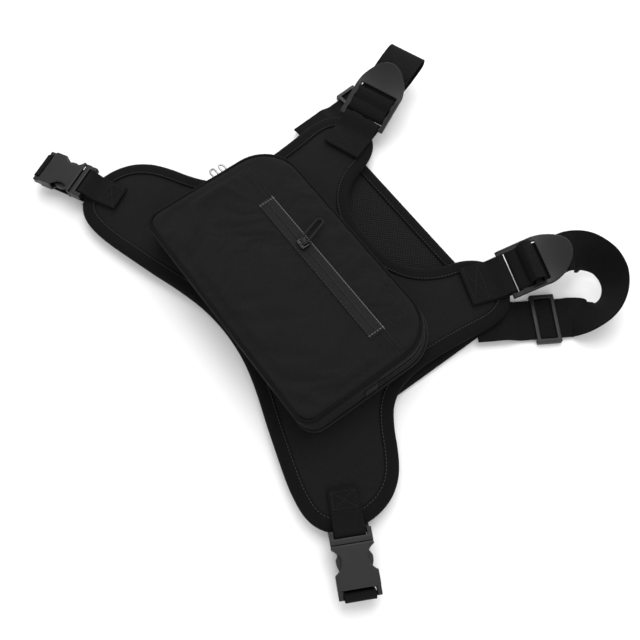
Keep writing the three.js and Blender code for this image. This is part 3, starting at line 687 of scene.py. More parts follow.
def row(name, path, outward, pitch, size, material, closed=False, lean=0.0, wobble=0.05, seed=1,
        beads=True):
    """One repeated shape along a path of points. Sizes are in millimetres."""
    path = np.asarray(path, float)
    mesh = bpy.data.meshes.new(name)
    edges = [(i, i + 1) for i in range(len(path) - 1)] + ([(len(path) - 1, 0)] if closed else [])
    mesh.from_pydata([tuple(p) for p in to_frame(path)], edges, [])
    outward = np.broadcast_to(np.asarray(outward, float), path.shape)
    layer = mesh.attributes.new("outward", "FLOAT_VECTOR", "POINT")
    layer.data.foreach_set("vector", np.ascontiguousarray(outward, np.float32).ravel())
    source = bpy.data.objects.new(name + "_path", mesh)
    bpy.context.collection.objects.link(source)
    modifier = source.modifiers.new("row", "NODES")
    modifier.node_group = row_tree
    values = {"Pitch": pitch * MILLIMETRE, "Size": [s * MILLIMETRE for s in size], "Lean": lean,
              "Wobble": wobble, "Seed": seed, "Round": beads, "Finish": material}
    for socket in row_tree.interface.items_tree:
        if socket.in_out == "INPUT" and socket.name in values:
            modifier[socket.identifier] = values[socket.name]
    source.update_tag()
    view = bpy.context.evaluated_depsgraph_get()
    plain = bpy.data.meshes.new_from_object(source.evaluated_get(view), depsgraph=view)
    plain.name = name
    bpy.data.objects.remove(source)
    if not plain.uv_layers:
        plain.uv_layers.new(name="cloth")
    if beads:
        plain.shade_smooth()
    piece = bpy.data.objects.new(name, plain)
    bpy.context.collection.objects.link(piece)
    return piece


# %% [markdown]
# ## Panels
# Each panel is padded cloth inside an edge tape. The pad crowns between its seams and dips under
# the tape. The tape is a soft strip folded over the edge and held by one row of stitches.

# %% Edge tape
def edge_binding(name, outline, low, high, width, under, seed, thickness=0.9):
    """Edge tape folded over an outline, from low to high, as wide as width on the top."""
    middle = (low + high) / 2
    round_edge = [(width, high - thickness), (width + 0.1, high - 0.35), (width - 0.6, high - 0.05),
                  (width * 0.72, high + 0.1), (width * 0.4, high), (width * 0.18, high - 0.35),
                  (1.0, high - 1.1), (0.15, middle + (high - middle) * 0.4), (0.0, middle),
                  (0.15, middle - (middle - low) * 0.5), (1.0, low + 0.35), (2.4, low + 0.05), (under, low),
                  (under, low + 0.35), (2.6, low + 0.55), (1.4, middle), (2.6, high - 1.6)]
    spots = outline
    waves = ripple(np.column_stack([lengths_along(spots, True)[:-1], np.zeros(len(spots))]), 9.0, seed)
    rings = []
    loops = [moved_in(spots, depth) for depth, _ in round_edge]
    for i in range(len(spots)):
        ring = []
        for loop, (depth, height) in zip(loops, round_edge):
            puff = 0.22 * waves[i] if height > middle and depth > 1.5 else 0.0
            ring.append((loop[i][0], loop[i][1], height + puff))
        rings.append(ring)
    return skin(name, rings, edge_tape, closed=True)


# %% [markdown]
# ### Back panel
# Only its mesh and edge show through the neck scoop, and the whole shell shows from behind.

# %% Back panel
back_outline = node_outline("back_panel_shell", 3.0)
back_edge = moved_in(back_outline, -1.5)


def back_mesh_top(place, gap):
    crown = 1 - np.exp(-np.clip(gap - 6, 0, None) / 12)
    return mesh_top - 0.5 + 0.45 * crown + 0.15 * ripple(place, 26, 3.1)


def back_mesh_low(place, gap):
    return np.full(len(place), shell_top + 0.2)


def back_shell_top(place, gap):
    return np.full(len(place), shell_top)


def back_shell_low(place, gap):
    lifted = 0.9 * np.exp(-gap / 4)
    return lifted + 0.25 * (1 - np.exp(-gap / 8)) * (0.5 + 0.5 * ripple(place, 30, 7.7))


back_mesh = cut_cloth("back_panel_mesh_cloth", back_outline, 4.0, back_mesh_top, back_mesh_low, mesh_fabric)
finish_piece(back_mesh, "vest", "mesh_fabric", "back_panel_mesh")
back_shell = cut_cloth("back_panel_outer_cloth", back_outline, 4.0, back_shell_top, back_shell_low,
                       face_cloth)
finish_piece(back_shell, "vest", "face_fabric", "back_panel_shell")
back_tape = edge_binding("back_panel_edge_tape", back_edge, 0.4, back_top - 0.1, 10.5, 8.0, 2.0)
finish_piece(back_tape, "vest", "binding_tape", "back_panel_binding")
back_seam = moved_in(back_edge, 9.0)
back_stitches = row("back_panel_stitches", np.column_stack([back_seam, np.full(len(back_seam), back_top)]),
                    (0, 0, 1), 3.2, (2.3, 0.55, 0.5), stitch_thread, closed=True, seed=4)
finish_piece(back_stitches, "vest", "binding_tape")

# %% [markdown]
# ### Front panel
# The padded cloth rises between the edge tape and the pouch, and lies flat under the pouch.

# %% Front panel
front_outline = node_outline("front_panel_face", 2.6)
front_edge = moved_in(front_outline, -1.5)
front_tape_width = 12.0


def front_top(place, gap):
    crown = 1 - np.exp(-np.clip(gap - 10, 0, None) / 9)
    waves = 0.28 * ripple(place, 24, 1.3) * crown + 0.12 * ripple(place, 9, 5.2) * crown
    return face_top - 0.25 + 1.15 * crown + waves


def front_low(place, gap):
    return np.full(len(place), face_low)


def lining_top(place, gap):
    return np.full(len(place), face_low - 0.1)


def lining_bottom(place, gap):
    return lining_low + 0.45 + 0.0 * gap


front_face = cut_cloth("front_panel_cloth", front_outline, 3.6, front_top, front_low, face_cloth)
finish_piece(front_face, "vest", "face_fabric", "front_panel_face")
lining = cut_cloth("front_panel_lining_cloth", front_outline, 6.0, lining_top, lining_bottom, mesh_fabric)
finish_piece(lining, "vest", "mesh_fabric", "front_panel_lining")
front_tape = edge_binding("front_panel_edge_tape", front_edge, lining_low + 0.05, panel_top - 0.1,
                          front_tape_width, 7.0, 6.0)
finish_piece(front_tape, "vest", "binding_tape", "front_panel_binding")
front_seam = moved_in(front_edge, front_tape_width - 1.3)
front_path = np.column_stack([front_seam, np.full(len(front_seam), panel_top + 0.02)])
front_stitches = row("front_panel_stitches", front_path, (0, 0, 1), 3.1, (2.3, 0.6, 0.5), stitch_thread,
                     closed=True, seed=8)
finish_piece(front_stitches, "vest", "binding_tape")

# %% [markdown]
# ## The pouch
# The pouch is a soft box: a front inside a piping, a wall below the zip and a wall above it. A
# height and a depth give one line round it. The wall pieces are strips between such lines.

# %% Lines round the pouch
pouch_width, pouch_height = 241.0, 142.0
pouch_base_y, pouch_sag = 4.0, 7.5
pouch_depth = pouch_top - pouch_low
top_radius, bottom_radius = 38.0, 13.0
face_pipe, base_pipe = 1.6, 1.3


def pouch_line(height, depth, upper):
    """Points round the pouch at a height, from one end of the fold to the other."""
    middle = pouch_base_y - pouch_sag * (height - pouch_low) / pouch_depth
    wide, tall = pouch_width / 2 - depth, pouch_height / 2 - depth
    side = 1 if upper else -1
    radius = (top_radius if upper else bottom_radius) - depth
    quarter = np.linspace(0, math.pi / 2, 13)
    first = np.column_stack([side * (wide - radius) + side * radius * np.cos(quarter),
                             middle + side * (tall - radius + radius * np.sin(quarter))])
    second = np.column_stack([-side * (wide - radius) + side * radius * np.cos(quarter + math.pi / 2),
                              middle + side * (tall - radius + radius * np.sin(quarter + math.pi / 2))])
    start, end = np.array([side * wide, side * fold_gap]), np.array([-side * wide, side * fold_gap])

    def straight(a, b, count):
        return a + (b - a) * np.linspace(0, 1, count, endpoint=False)[:, None]

    flat = np.vstack([straight(start, first[0], 14), first, straight(first[-1], second[0], 56)[1:], second,
                      straight(second[-1], end, 14)[1:], end])
    return np.column_stack([flat, np.full(len(flat), height)])


def whole_line(height, depth):
    return np.vstack([pouch_line(height, depth, True), pouch_line(height, depth, False)])


def wall_strip(name, low, high, upper, bulge, creases, material, thickness=1.4, seed=0.0):
    """A strip of the pouch's wall that swells out by bulge and creases by creases."""
    levels = np.linspace(0, 1, 7)
    outer = [pouch_line(low + t * (high - low), -bulge * math.sin(math.pi * t), upper) for t in levels]
    inner = [pouch_line(low + t * (high - low), thickness - bulge * math.sin(math.pi * t), upper)
             for t in levels[::-1]]
    loops = outer + inner
    run = lengths_along(outer[3][:, :2], False)
    push = [ripple(np.column_stack([run, np.full(len(run), 40 * t)]), 17, seed, (1, 0.5)) for t in levels]
    for number, loop in enumerate(loops):
        level = number if number < 7 else 13 - number
        swell = creases * math.sin(math.pi * levels[level]) * push[level]
        along = np.gradient(loop[:, :2], axis=0)
        along /= np.linalg.norm(along, axis=1)[:, None]
        loop[:, 0] += along[:, 1] * swell
        loop[:, 1] -= along[:, 0] * swell
    return skin(name, np.stack(loops, axis=1), material)


# %% Walls, zip tapes and back
wall_bottom = wall_strip("pouch_wall_bottom", gusset_low, gusset_top, False, 1.3, 0.8, face_cloth, seed=1.5)
finish_piece(wall_bottom, "vest", "face_fabric", "pouch_gusset_bottom")
wall_inner = wall_strip("pouch_wall_inner", gusset_low, zip_low - 0.2, True, 0.7, 0.35, face_cloth,
                        seed=2.5)
finish_piece(wall_inner, "vest", "face_fabric", "pouch_gusset_inner")
wall_outer = wall_strip("pouch_wall_outer", lid_low + 0.2, gusset_top, True, 0.7, 0.35, face_cloth,
                        seed=3.5)
finish_piece(wall_outer, "pouch_lid", "face_fabric", "pouch_gusset_outer")
zip_middle = (zip_low + zip_high) / 2
tape_inner = wall_strip("main_zip_inner_tape", zip_low, zip_middle - 0.2, True, 0.0, 0.0, zip_cloth, 1.0)
finish_piece(tape_inner, "vest", "zip_tape", "main_zip_tape_inner")
tape_outer = wall_strip("main_zip_outer_tape", zip_middle + 0.2, zip_high, True, 0.0, 0.0, zip_cloth, 1.0)
finish_piece(tape_outer, "pouch_lid", "zip_tape", "main_zip_tape_outer")
pouch_floor_line = whole_line(pouch_low, 0.0)[:, :2]
pouch_floor = cut_cloth("pouch_back_cloth", even(pouch_floor_line, 4.0), 8.0,
                        lambda place, gap: np.full(len(place), pouch_low + 1.5),
                        lambda place, gap: np.full(len(place), pouch_low), face_cloth)
finish_piece(pouch_floor, "vest", "face_fabric", "pouch_back")

# %% Zip teeth and wall stitches
for part, height, body in [("inner", zip_middle - 0.75, "vest"), ("outer", zip_middle + 0.75, "pouch_lid")]:
    line = pouch_line(height, -0.35, True)
    along = np.gradient(line, axis=0)
    out = np.column_stack([along[:, 1], -along[:, 0], np.zeros(len(line))])
    teeth = row(f"main_zip_teeth_{part}", line, out, 1.35, (0.85, 1.9, 1.3), coil, wobble=0.0, beads=True)
    finish_piece(teeth, body, "zip_tape")
for name, height, upper, body in [("wall_stitches_inner", zip_low - 2.0, True, "vest"),
                                  ("wall_stitches_outer", lid_low + 2.2, True, "pouch_lid"),
                                  ("wall_stitches_base", gusset_low + 4.2, False, "vest")]:
    line = pouch_line(height, -0.75, upper)
    along = np.gradient(line, axis=0)
    out = np.column_stack([along[:, 1], -along[:, 0], np.zeros(len(line))])
    finish_piece(row(name, line, out, 3.0, (2.2, 0.5, 0.45), dark_thread, seed=3), body, "binding_tape")

# %% [markdown]
# ### Pouch front
# The front is one sheet of cloth sewn to the piping all round and to the pocket's band. Cloth
# simulation gives it its swell: the sheet is held on its seams, it is a little larger than its
# frame, and a light pressure behind it pushes it out until it creases softly at the corners.

# %% Pouch front
band_left, band_right = -71.0, 91.0
band_low, band_high = 15.5, 31.5
front_height = pouch_top - 0.6
front_inset = 2 * face_pipe - 0.9
front_line = whole_line(pouch_top - 3 + face_pipe, front_inset)[:, :2]


def band_distance(place):
    x = np.maximum(np.maximum(band_left - place[:, 0], place[:, 0] - band_right), 0)
    y = np.maximum(np.maximum(band_low - place[:, 1], place[:, 1] - band_high), 0)
    return np.hypot(x, y)


def settled_front():
    outline = even(front_line, 3.2)
    place, triangles, rim = net(outline, 3.6)
    gap = edge_distance(place, outline)
    beside = band_distance(place)
    swell = 1.1 * (1 - np.exp(-gap / 7))
    points = np.column_stack([place, front_height + swell])
    maps = [tuple(points[i][:2]) for face in triangles for i in face]
    sheet = make("pouch_front_cloth", points, triangles, face_cloth, maps)
    held = sheet.vertex_groups.new(name="seams")
    held.add([int(i) for i in np.flatnonzero((gap < 0.5) | (beside < 1.5))], 1.0, "REPLACE")
    modifier = sheet.modifiers.new("swell", "CLOTH")
    cloth = modifier.settings
    cloth.vertex_group_mass = "seams"
    cloth.quality = 6
    cloth.mass = 0.2
    cloth.tension_stiffness = cloth.compression_stiffness = 25
    cloth.shear_stiffness = 15
    cloth.bending_stiffness = 0.6
    cloth.shrink_min = -0.02
    cloth.use_pressure = True
    cloth.uniform_pressure_force = 3.0
    cloth.effector_weights.gravity = 0
    modifier.collision_settings.use_collision = False
    scene = bpy.context.scene
    for number in range(1, 21):
        scene.frame_set(number)
    view = bpy.context.evaluated_depsgraph_get()
    swollen = np.array([v.co for v in sheet.evaluated_get(view).data.vertices])
    rest = np.array([v.co for v in sheet.data.vertices])
    sheet.modifiers.remove(modifier)
    sheet.vertex_groups.clear()
    scene.frame_set(1)
    moved = swollen - rest
    most = np.where(place[:, 1] < band_low, 4.5, 2.5) * MILLIMETRE
    size = np.linalg.norm(moved, axis=1)
    moved *= np.minimum(1, most * np.tanh(size / most) / np.maximum(size, 1e-9))[:, None]
    sheet.data.vertices.foreach_set("co", (rest + moved).astype(np.float32).ravel())
    sheet.data.update()
    print("front swelled by", round(1000 * float(moved[:, 2].max()), 2), "mm")
    return sheet


pouch_front = settled_front()
thicken = pouch_front.modifiers.new("thickness", "SOLIDIFY")
thicken.thickness = 0.0012
thicken.offset = -1
rounder = pouch_front.modifiers.new("smooth", "SUBSURF")
rounder.levels = rounder.render_levels = 1
view = bpy.context.evaluated_depsgraph_get()
plain = bpy.data.meshes.new_from_object(pouch_front.evaluated_get(view), depsgraph=view)
pouch_front.modifiers.clear()
pouch_front.data = plain
plain.shade_smooth()
tuple(to_frame([0, -9, pouch_top]))
tuple(to_frame([0, 9, pouch_top]))
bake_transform(pouch_front)
finish_piece(pouch_front, None, "face_fabric", "pouch_front_upper", "pouch_front_lower")

# %% Piping
def pipe(name, line, radius, material=edge_tape):
    """A round cord along a closed line in the pouch's plane."""
    along = np.roll(line, -1, 0) - np.roll(line, 1, 0)
    along /= np.linalg.norm(along, axis=1)[:, None]
    out = np.column_stack([along[:, 1], -along[:, 0], np.zeros(len(line))])
    rings = []
    for turn in np.linspace(0, 2 * math.pi, 10, endpoint=False):
        rings.append(line + out * radius * math.cos(turn) + np.array([0, 0, radius * math.sin(turn)]))
    return skin(name, np.stack(rings, axis=1), material, closed=True)


piping = pipe("pouch_piping", whole_line(pouch_top - 3 + face_pipe, face_pipe), face_pipe)
tuple(to_frame([0, -9, pouch_top]))
tuple(to_frame([0, 9, pouch_top]))
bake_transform(piping)
finish_piece(piping, None, "binding_tape", "pouch_piping_upper", "pouch_piping_lower")
base_line = whole_line(gusset_low + base_pipe, -base_pipe - clearance)
base_piping = pipe("pouch_base_cord", base_line, base_pipe, band_cloth)
finish_piece(base_piping, "vest", "binding_tape", "pouch_base_piping")

# %% [markdown]
# ### The slip pocket
# A band of paler cloth is sewn over the pocket's zip. The stitch row along the neck side and the
# short rows at the band's ends get a lighter copy of the thread, a painted highlight, and the other
# row, in the plain thread, sinks into the cloth. A seam runs on from the band to both sides of the front.

# %% Pocket band and its stitches
band_top = corners("pocket_zip_tape")[1][2]
chain_top = corners("pocket_zip_chain")[1][2]
band_middle = (band_low + band_high) / 2


def band_outline(inset):
    left, right = band_left + inset, band_right - inset
    low, high = band_low + inset, band_high - inset
    return even(np.array([[left, low], [right, low], [right, high], [left, high]]), 2.2)


def band_height(place, gap):
    slit = np.exp(-((place[:, 1] - band_middle) / 1.3) ** 2)
    return band_top + 0.15 + 0.35 * (1 - np.exp(-gap / 1.2)) + 0.25 * slit + 0.1 * ripple(place, 11, 2.2)


def band_bottom(place, gap):
    return np.full(len(place), band_top - 0.9)


band = cut_cloth("pocket_band", band_outline(0.0), 2.6, band_height, band_bottom, band_cloth)
finish_piece(band, "pouch_lid", "zip_tape", "pocket_zip_tape")
coil_height = chain_top - 0.35
zip_row = np.array([[x, band_middle, coil_height] for x in (band_left + 3.5, band_right - 3.5)])
pocket_coil = row("pocket_zip_coil", zip_row, (0, 0, 1), 1.0, (0.75, 2.2, 0.7), coil, wobble=0.0)
finish_piece(pocket_coil, "pouch_lid", "zip_tape", "pocket_zip_chain")


def stitch_run(name, points, material, body, pitch=3.0, seed=1, size=(2.3, 0.55, 0.45)):
    piece = row(name, points, (0, 0, 1), pitch, size, material, seed=seed)
    return finish_piece(piece, body, "binding_tape")


stitch_z = band_top + 0.5
upper_row = [[band_left + 1, band_high - 1, stitch_z], [band_right - 1, band_high - 1, stitch_z]]
lower_row = [[band_left + 1, band_low + 1, stitch_z], [band_right - 1, band_low + 1, stitch_z]]
# the neck-side row and the short end rows use the painted highlight thread
stitch_run("pocket_stitches_upper", upper_row, painted_highlight_thread, "pouch_lid", 2.5, 11, (2.5, 0.85, 0.5))
stitch_run("pocket_stitches_lower", lower_row, stitch_thread, "pouch_lid", 3.4, 12)
for side, x in (("left", band_left + 2.5), ("right", band_right - 2.5)):
    stitch_run(f"pocket_stitches_{side}", [[x, band_low + 1, stitch_z], [x, band_high - 1, stitch_z]],
               painted_highlight_thread, "pouch_lid", 2.5, 13, (2.4, 0.8, 0.5))
bag_low, bag_high = corners("pocket_bag")
bag_corners = np.array([[bag_low[0], bag_low[1]], [bag_high[0], bag_low[1]],
                        [bag_high[0], bag_high[1]], [bag_low[0], bag_high[1]]])
bag = cut_cloth("pocket_bag_cloth", even(bag_corners, 4.0), 7.0,
                lambda place, gap: bag_high[2] - 0.1 + 0.0 * gap,
                lambda place, gap: bag_low[2] + 0.2 * ripple(place, 25, 9.0), zip_cloth)
finish_piece(bag, "vest", "face_fabric", "pocket_bag")


# %% Seam lines on the front
def front_height_at(points):
    """The height of the swollen front under each point, from its nearest corner."""
    place = np.array([v.co for v in pouch_front.data.vertices]) / MILLIMETRE - shift
    upper = place[place[:, 2] > front_height - 0.9]
    heights = []
    for x, y in points:
        near = np.argmin(np.hypot(upper[:, 0] - x, upper[:, 1] - y) - 0.3 * upper[:, 2])
        heights.append(upper[near, 2])
    return np.array(heights)


def seam(name, start, end, material, body, seed):
    spots = np.linspace(start, end, 24)
    heights = front_height_at(spots)
    heights = np.convolve(np.pad(heights, 2, mode="edge"), np.ones(5) / 5, mode="valid")
    return stitch_run(name, np.column_stack([spots, heights + 0.05]), material, body, seed=seed)


seam_seed = 21
for side, start_x, end_x in (("left", -116, band_left - 1), ("right", band_right + 1, 115)):
    for row_name, y in (("", band_high - 1), ("_low", band_high - 4.5)):
        seam(f"front_seam_{side}{row_name}", (start_x, y), (end_x, y), dark_thread, "pouch_lid", seam_seed)
        seam_seed += 1

# %% [markdown]
# ### Zip sliders, pulls and end tabs
# The two metal sliders are parked at one end of the main zip. Each pull is a plated frame that
# swings on its slider. The pocket's slider carries a loop of cord.

# %% Looped pulls
def stadium(length, width, count=48):
    """A closed line round a slot from its end at the origin, along +Y."""
    radius = width / 2
    half = np.linspace(0, math.pi, count // 2)
    far = np.column_stack([radius * np.cos(half), length - radius + radius * np.sin(half)])
    near = np.column_stack([-radius * np.cos(half), radius - radius * np.sin(half)])
    flat = np.vstack([far, near])
    return even(flat, (2 * length + width) / count)


def loop_piece(name, line, wide, thick, matrix, material, corner_count=10, square=2.0):
    """A closed flat loop with a rounded section, wide in its plane and thick across it."""
    out = normals_out(line)
    rings = []
    for turn in np.linspace(0, 2 * math.pi, corner_count, endpoint=False):
        a, b = math.cos(turn), math.sin(turn)
        a, b = math.copysign(abs(a) ** (2 / square), a), math.copysign(abs(b) ** (2 / square), b)
        ring = np.column_stack([line + out * a * wide / 2, np.full(len(line), b * thick / 2)])
        rings.append(ring)
    rings = np.stack(rings, axis=1)
    flat = placed(rings.reshape(-1, 3), matrix)
    return skin(name, flat.reshape(rings.shape), material, closed=True)


def placed(points, matrix):
    points = np.asarray(points, float)
    turn = np.array(matrix)
    return points @ turn[:3, :3].T + turn[:3, 3]


# %% Rounded hard parts
def blocks_mesh(shape, blocks, matrix):
    for size, centre in blocks:
        made = bmesh.ops.create_cube(shape, size=1.0)["verts"]
        for vert in made:
            local = np.array(vert.co) * size + centre
            vert.co = to_frame(placed([local], matrix))[0]


def moulded_copy(name, node, voxel, softness, material, body, slot, blocks=(), matrix=None, bend=None):
    """A hard part grown from its solid: ribs are added, then it is remeshed and softened."""
    shape = bmesh.new()
    if node:
        shape.from_mesh(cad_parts[node].data)
        bmesh.ops.remove_doubles(shape, verts=shape.verts, dist=1e-6)
    blocks_mesh(shape, blocks, matrix if matrix is not None else Matrix())
    mesh = bpy.data.meshes.new(name)
    shape.to_mesh(mesh)
    shape.free()
    piece = bpy.data.objects.new(name, mesh)
    bpy.context.collection.objects.link(piece)
    remesh = piece.modifiers.new("grow", "REMESH")
    remesh.mode = "VOXEL"
    remesh.voxel_size = voxel * MILLIMETRE
    soften = piece.modifiers.new("soften", "SMOOTH")
    soften.factor = 0.5
    soften.iterations = softness
    view = bpy.context.evaluated_depsgraph_get()
    plain = bpy.data.meshes.new_from_object(piece.evaluated_get(view), depsgraph=view)
    piece.modifiers.clear()
    piece.data = plain
    if bend:
        spots = np.array([v.co for v in plain.vertices]) / MILLIMETRE - shift
        plain.vertices.foreach_set("co", to_frame(bend(spots)).astype(np.float32).ravel())
    plain.materials.clear()
    plain.materials.append(material)
    plain.shade_smooth()
    if not plain.uv_layers:
        plain.uv_layers.new(name="cloth")
    return finish_piece(piece, body, slot, *([node] if node else []))


# %% Main zip sliders and pulls
for part in ("lower", "upper"):
    low, high = corners(f"main_slider_{part}")
    centre, size = (low + high) / 2, high - low
    outward_face = low[0]
    ribs = [((1.2, 3.4, 5.0), (outward_face - 0.1, centre[1], centre[2])),
            ((1.0, size[1] * 0.9, 1.0), (outward_face + 0.5, centre[1], centre[2] + 3.2)),
            ((1.0, size[1] * 0.9, 1.0), (outward_face + 0.5, centre[1], centre[2] - 3.2))]
    moulded_copy(f"main_slider_{part}_body", f"main_slider_{part}", 0.25, 4, plated, f"main_slider_{part}",
                 "metal", ribs)
    pull_low, pull_high = corners(f"main_pull_{part}")
    pull_length = pull_high[0] - pull_low[0]
    pivot = Vector((pull_high[0], centre[1], centre[2]))
    twist = Matrix.Translation(pivot) @ Matrix.Rotation(math.radians(90), 4, "Z") @ Matrix.Rotation(
        math.radians(14 if part == "upper" else -10), 4, "Y")
    pull_line = stadium(0.68 * pull_length, 5.2)
    pull = loop_piece(f"main_pull_{part}_frame", pull_line, 1.9, 1.4, twist, plated, square=3.5)
    finish_piece(pull, f"main_pull_{part}", "metal", f"main_pull_{part}")

# %% Pocket slider and cord pull
low, high = corners("pocket_zip_slider")
centre = (low + high) / 2
slider_ribs = [((3.2, 5.4, 1.0), (centre[0], centre[1], high[2] + 0.2)),
               ((1.2, 7.4, 0.8), (centre[0] - 4.2, centre[1], high[2])),
               ((1.2, 7.4, 0.8), (centre[0] + 4.2, centre[1], high[2]))]
moulded_copy("pocket_slider_body", "pocket_zip_slider", 0.25, 4, black_metal, "pocket_slider", "plastic",
             slider_ribs)
pull_low, pull_high = corners("pocket_zip_pull")
pull_length = pull_high[1] - pull_low[1]
pivot = Vector((centre[0], pull_low[1] + 1.0, pull_high[2] - 1.2))
lean = Matrix.Translation(pivot) @ Matrix.Rotation(math.radians(20), 4, "Z")
lean = lean @ Matrix.Rotation(math.radians(-6), 4, "X")
cord_loop = loop_piece("pocket_pull_cord", stadium(pull_length - 0.5, 6.4), 1.9, 1.9, lean, cord_cloth)
ring_loop = loop_piece("pocket_pull_ring", stadium(6.5, 5.4, 32), 0.9, 0.9,
                       Matrix.Translation(pivot + Vector((0, -0.5, 0.1))), black_metal)
finish_piece(cord_loop, "pocket_pull", "webbing", "pocket_zip_pull")
finish_piece(ring_loop, "pocket_pull", "plastic")


# %% End tabs of the main zip
def end_tab(name, node, sign):
    low, high = corners(node)
    inner, outer = (low[0], high[0]) if sign > 0 else (high[0], low[0])
    rings = []
    for t in np.linspace(0, 1, 15):
        y = low[1] + t * (high[1] - low[1])
        edge = 0.5 * (1 - abs(2 * t - 1) ** 6)
        ring = []
        for turn in np.linspace(0, 2 * math.pi, 28, endpoint=False):
            a, b = math.cos(turn), math.sin(turn)
            a, b = math.copysign(abs(a) ** 0.35, a), math.copysign(abs(b) ** 0.35, b)
            x = (inner + outer) / 2 + a * (outer - inner) / 2 * (0.5 + edge)
            ring.append((x, y, (low[2] + high[2]) / 2 + b * (high[2] - low[2]) / 2 * (0.94 + 0.12 * edge)))
        rings.append(ring)
    finish_piece(skin(name, rings, band_cloth), "vest", "face_fabric", node)
    for index, y in enumerate((low[1] + 1.6, high[1] - 1.6)):
        path = [[outer, y, low[2] + 1.2], [outer, y, high[2] - 1.2]]
        stitches = row(f"{name}_stitches_{index}", path, (sign, 0, 0), 2.4, (1.7, 0.5, 0.4), stitch_thread,
                       seed=5)
        finish_piece(stitches, "vest", "binding_tape")


end_tab("zip_tab_left", "zip_garage_left", -1)
end_tab("zip_tab_right", "zip_garage_right", 1)

# %% [markdown]
# ## Webbing
# Every strap is one ribbon laid along a smooth curve through chosen points, with the direction of
# its width given at each point. The curve is a centripetal Catmull-Rom curve, which passes through
# its points without loops. The section is flat with a firm rounded selvedge on each side.

# %% Ribbons
def smooth_line(points, steps):
    """steps + 1 points on the centripetal Catmull-Rom curve through the given ones."""
    points = np.asarray(points, float)
    padded_points = np.vstack([2 * points[0] - points[1], points, 2 * points[-1] - points[-2]])
    line = []
    for i in range(steps + 1):
        at = (len(points) - 1) * i / steps
        cell = min(int(at), len(points) - 2)
        w = at - cell
        a, b, c, d = padded_points[cell:cell + 4]
        gaps = [np.sum((q - p) ** 2) ** 0.25 for p, q in ((a, b), (b, c), (c, d))]
        middle = gaps[1] if gaps[1] > 1e-4 else 1.0
        first = gaps[0] if gaps[0] > 1e-4 else middle
        last = gaps[2] if gaps[2] > 1e-4 else middle
        leave = ((b - a) / first - (c - a) / (first + middle) + (c - b) / middle) * middle
        arrive = ((c - b) / middle - (d - b) / (middle + last) + (d - c) / last) * middle
        line.append(b + leave * w + (3 * (c - b) - 2 * leave - arrive) * w ** 2
                    + (2 * (b - c) + leave + arrive) * w ** 3)
    return np.array(line)


def ribbon_section(width):
    half, thick = width / 2, web_thickness / 2
    top = [(-half, 0.0), (-half + 0.12, 0.6 * thick), (-half + 0.5, thick), (-half + 1.4, thick),
           (-half + 2.0, 0.86 * thick)]
    across = [(x, 0.86 * thick) for x in np.linspace(-half + 4, half - 4, 6)]
    top = top + across + [(-x, z) for x, z in top[:0:-1]]
    return top + [(half, 0.0)] + [(x, -z) for x, z in top[:0:-1]]


def ribbon(name, route, width, steps, matrix=None, first=0, last=None, material=webbing_cloth):
    """A strap along a route of [x, y, z, width direction] points, from step first to step last."""
    route = np.asarray(route, float)
    middle = smooth_line(route[:, :3], steps)
    side = smooth_line(route[:, 3:], steps)
    along = np.gradient(middle, axis=0)
    along /= np.linalg.norm(along, axis=1)[:, None]
    side -= np.sum(side * along, axis=1)[:, None] * along
    side /= np.linalg.norm(side, axis=1)[:, None]
    out = np.cross(along, side)
    section = ribbon_section(width)
    rings = np.stack([middle + side * a + out * b for a, b in section], axis=1)[first:last]
    if matrix is not None:
        rings = placed(rings.reshape(-1, 3), matrix).reshape(rings.shape)
    return skin(name, rings, material)


# %% [markdown]
# ## Shoulder hardware
# The ladder lock hangs on a loop of webbing sewn to the arm. The adjusting strap goes up through
# the ladder and down again, leaves under the thumb tab, and comes back to the back panel.

# %% Places of the shoulder hardware
bar_width, bar_thickness = 3.6, 3.0
web_step = clearance + web_thickness / 2
wrap_radius = math.hypot(bar_width, bar_thickness) / 2 + web_step
lock_z = panel_top + web_step + wrap_radius
lock_x, lock_y = 105.0, 160.0
lock_lean = math.radians(20)
lock_tilt = math.radians(22)
shoulder_web, side_web = 38.0, 25.0
strap_on_back = back_top + clearance + web_thickness / 2
lock_frame_length, lock_tab_length = 34.0, 28.0


def lock_place(sign):
    """The frame of a lock's first bar on a side, -1 left or 1 right, with +Y along the strap."""
    spot = Matrix.Translation((sign * lock_x, lock_y, lock_z))
    return spot @ Matrix.Rotation(-sign * lock_lean, 4, "Z")


def anchor_route(length):
    step = web_thickness + clearance
    route = [(-length + 4, -wrap_radius), (-12, -wrap_radius), (-6, -wrap_radius)]
    for turn in range(7):
        angle = -math.pi / 2 + turn / 6 * math.pi
        route.append(((wrap_radius + 0.5) * math.cos(angle), wrap_radius * math.sin(angle)))
    route += [(-4, wrap_radius * 0.6), (-13, step - wrap_radius), (-20, step - wrap_radius),
              (-length, step - wrap_radius)]
    return crossed(route)


def crossed(route):
    return [[0, s, z, 1, 0, 0] for s, z in route]


def ladder_route(hump):
    over = bar_thickness / 2 + web_step
    first, second = 11, 24
    tail = [(second + 26, -over - 0.3), (second + 12, -over - 0.3), (second + 8.4, -over + 0.4),
            (second + 5.9, -0.2)]
    top = [(second + 4.6 + hump * 0.25, over - 0.4 + hump * 0.45), (second, over + 0.5 + hump),
           (second - 4.6 - hump * 0.1, over - 0.3 + hump * 0.45), ((first + second) / 2, over - 0.6),
           (first + 3.5, over + 0.35), (first - 1, over + 0.4), (first - 4, over - 0.6), (first - 5.3, -0.4)]
    under = [(first - 4.2, -over - 0.6), (first, -over - 2.2), (first + 10, -over - 2.7),
             (first + 28, -over - 2.9), (first + 44, -over - 3.1)]
    return tail + top + under


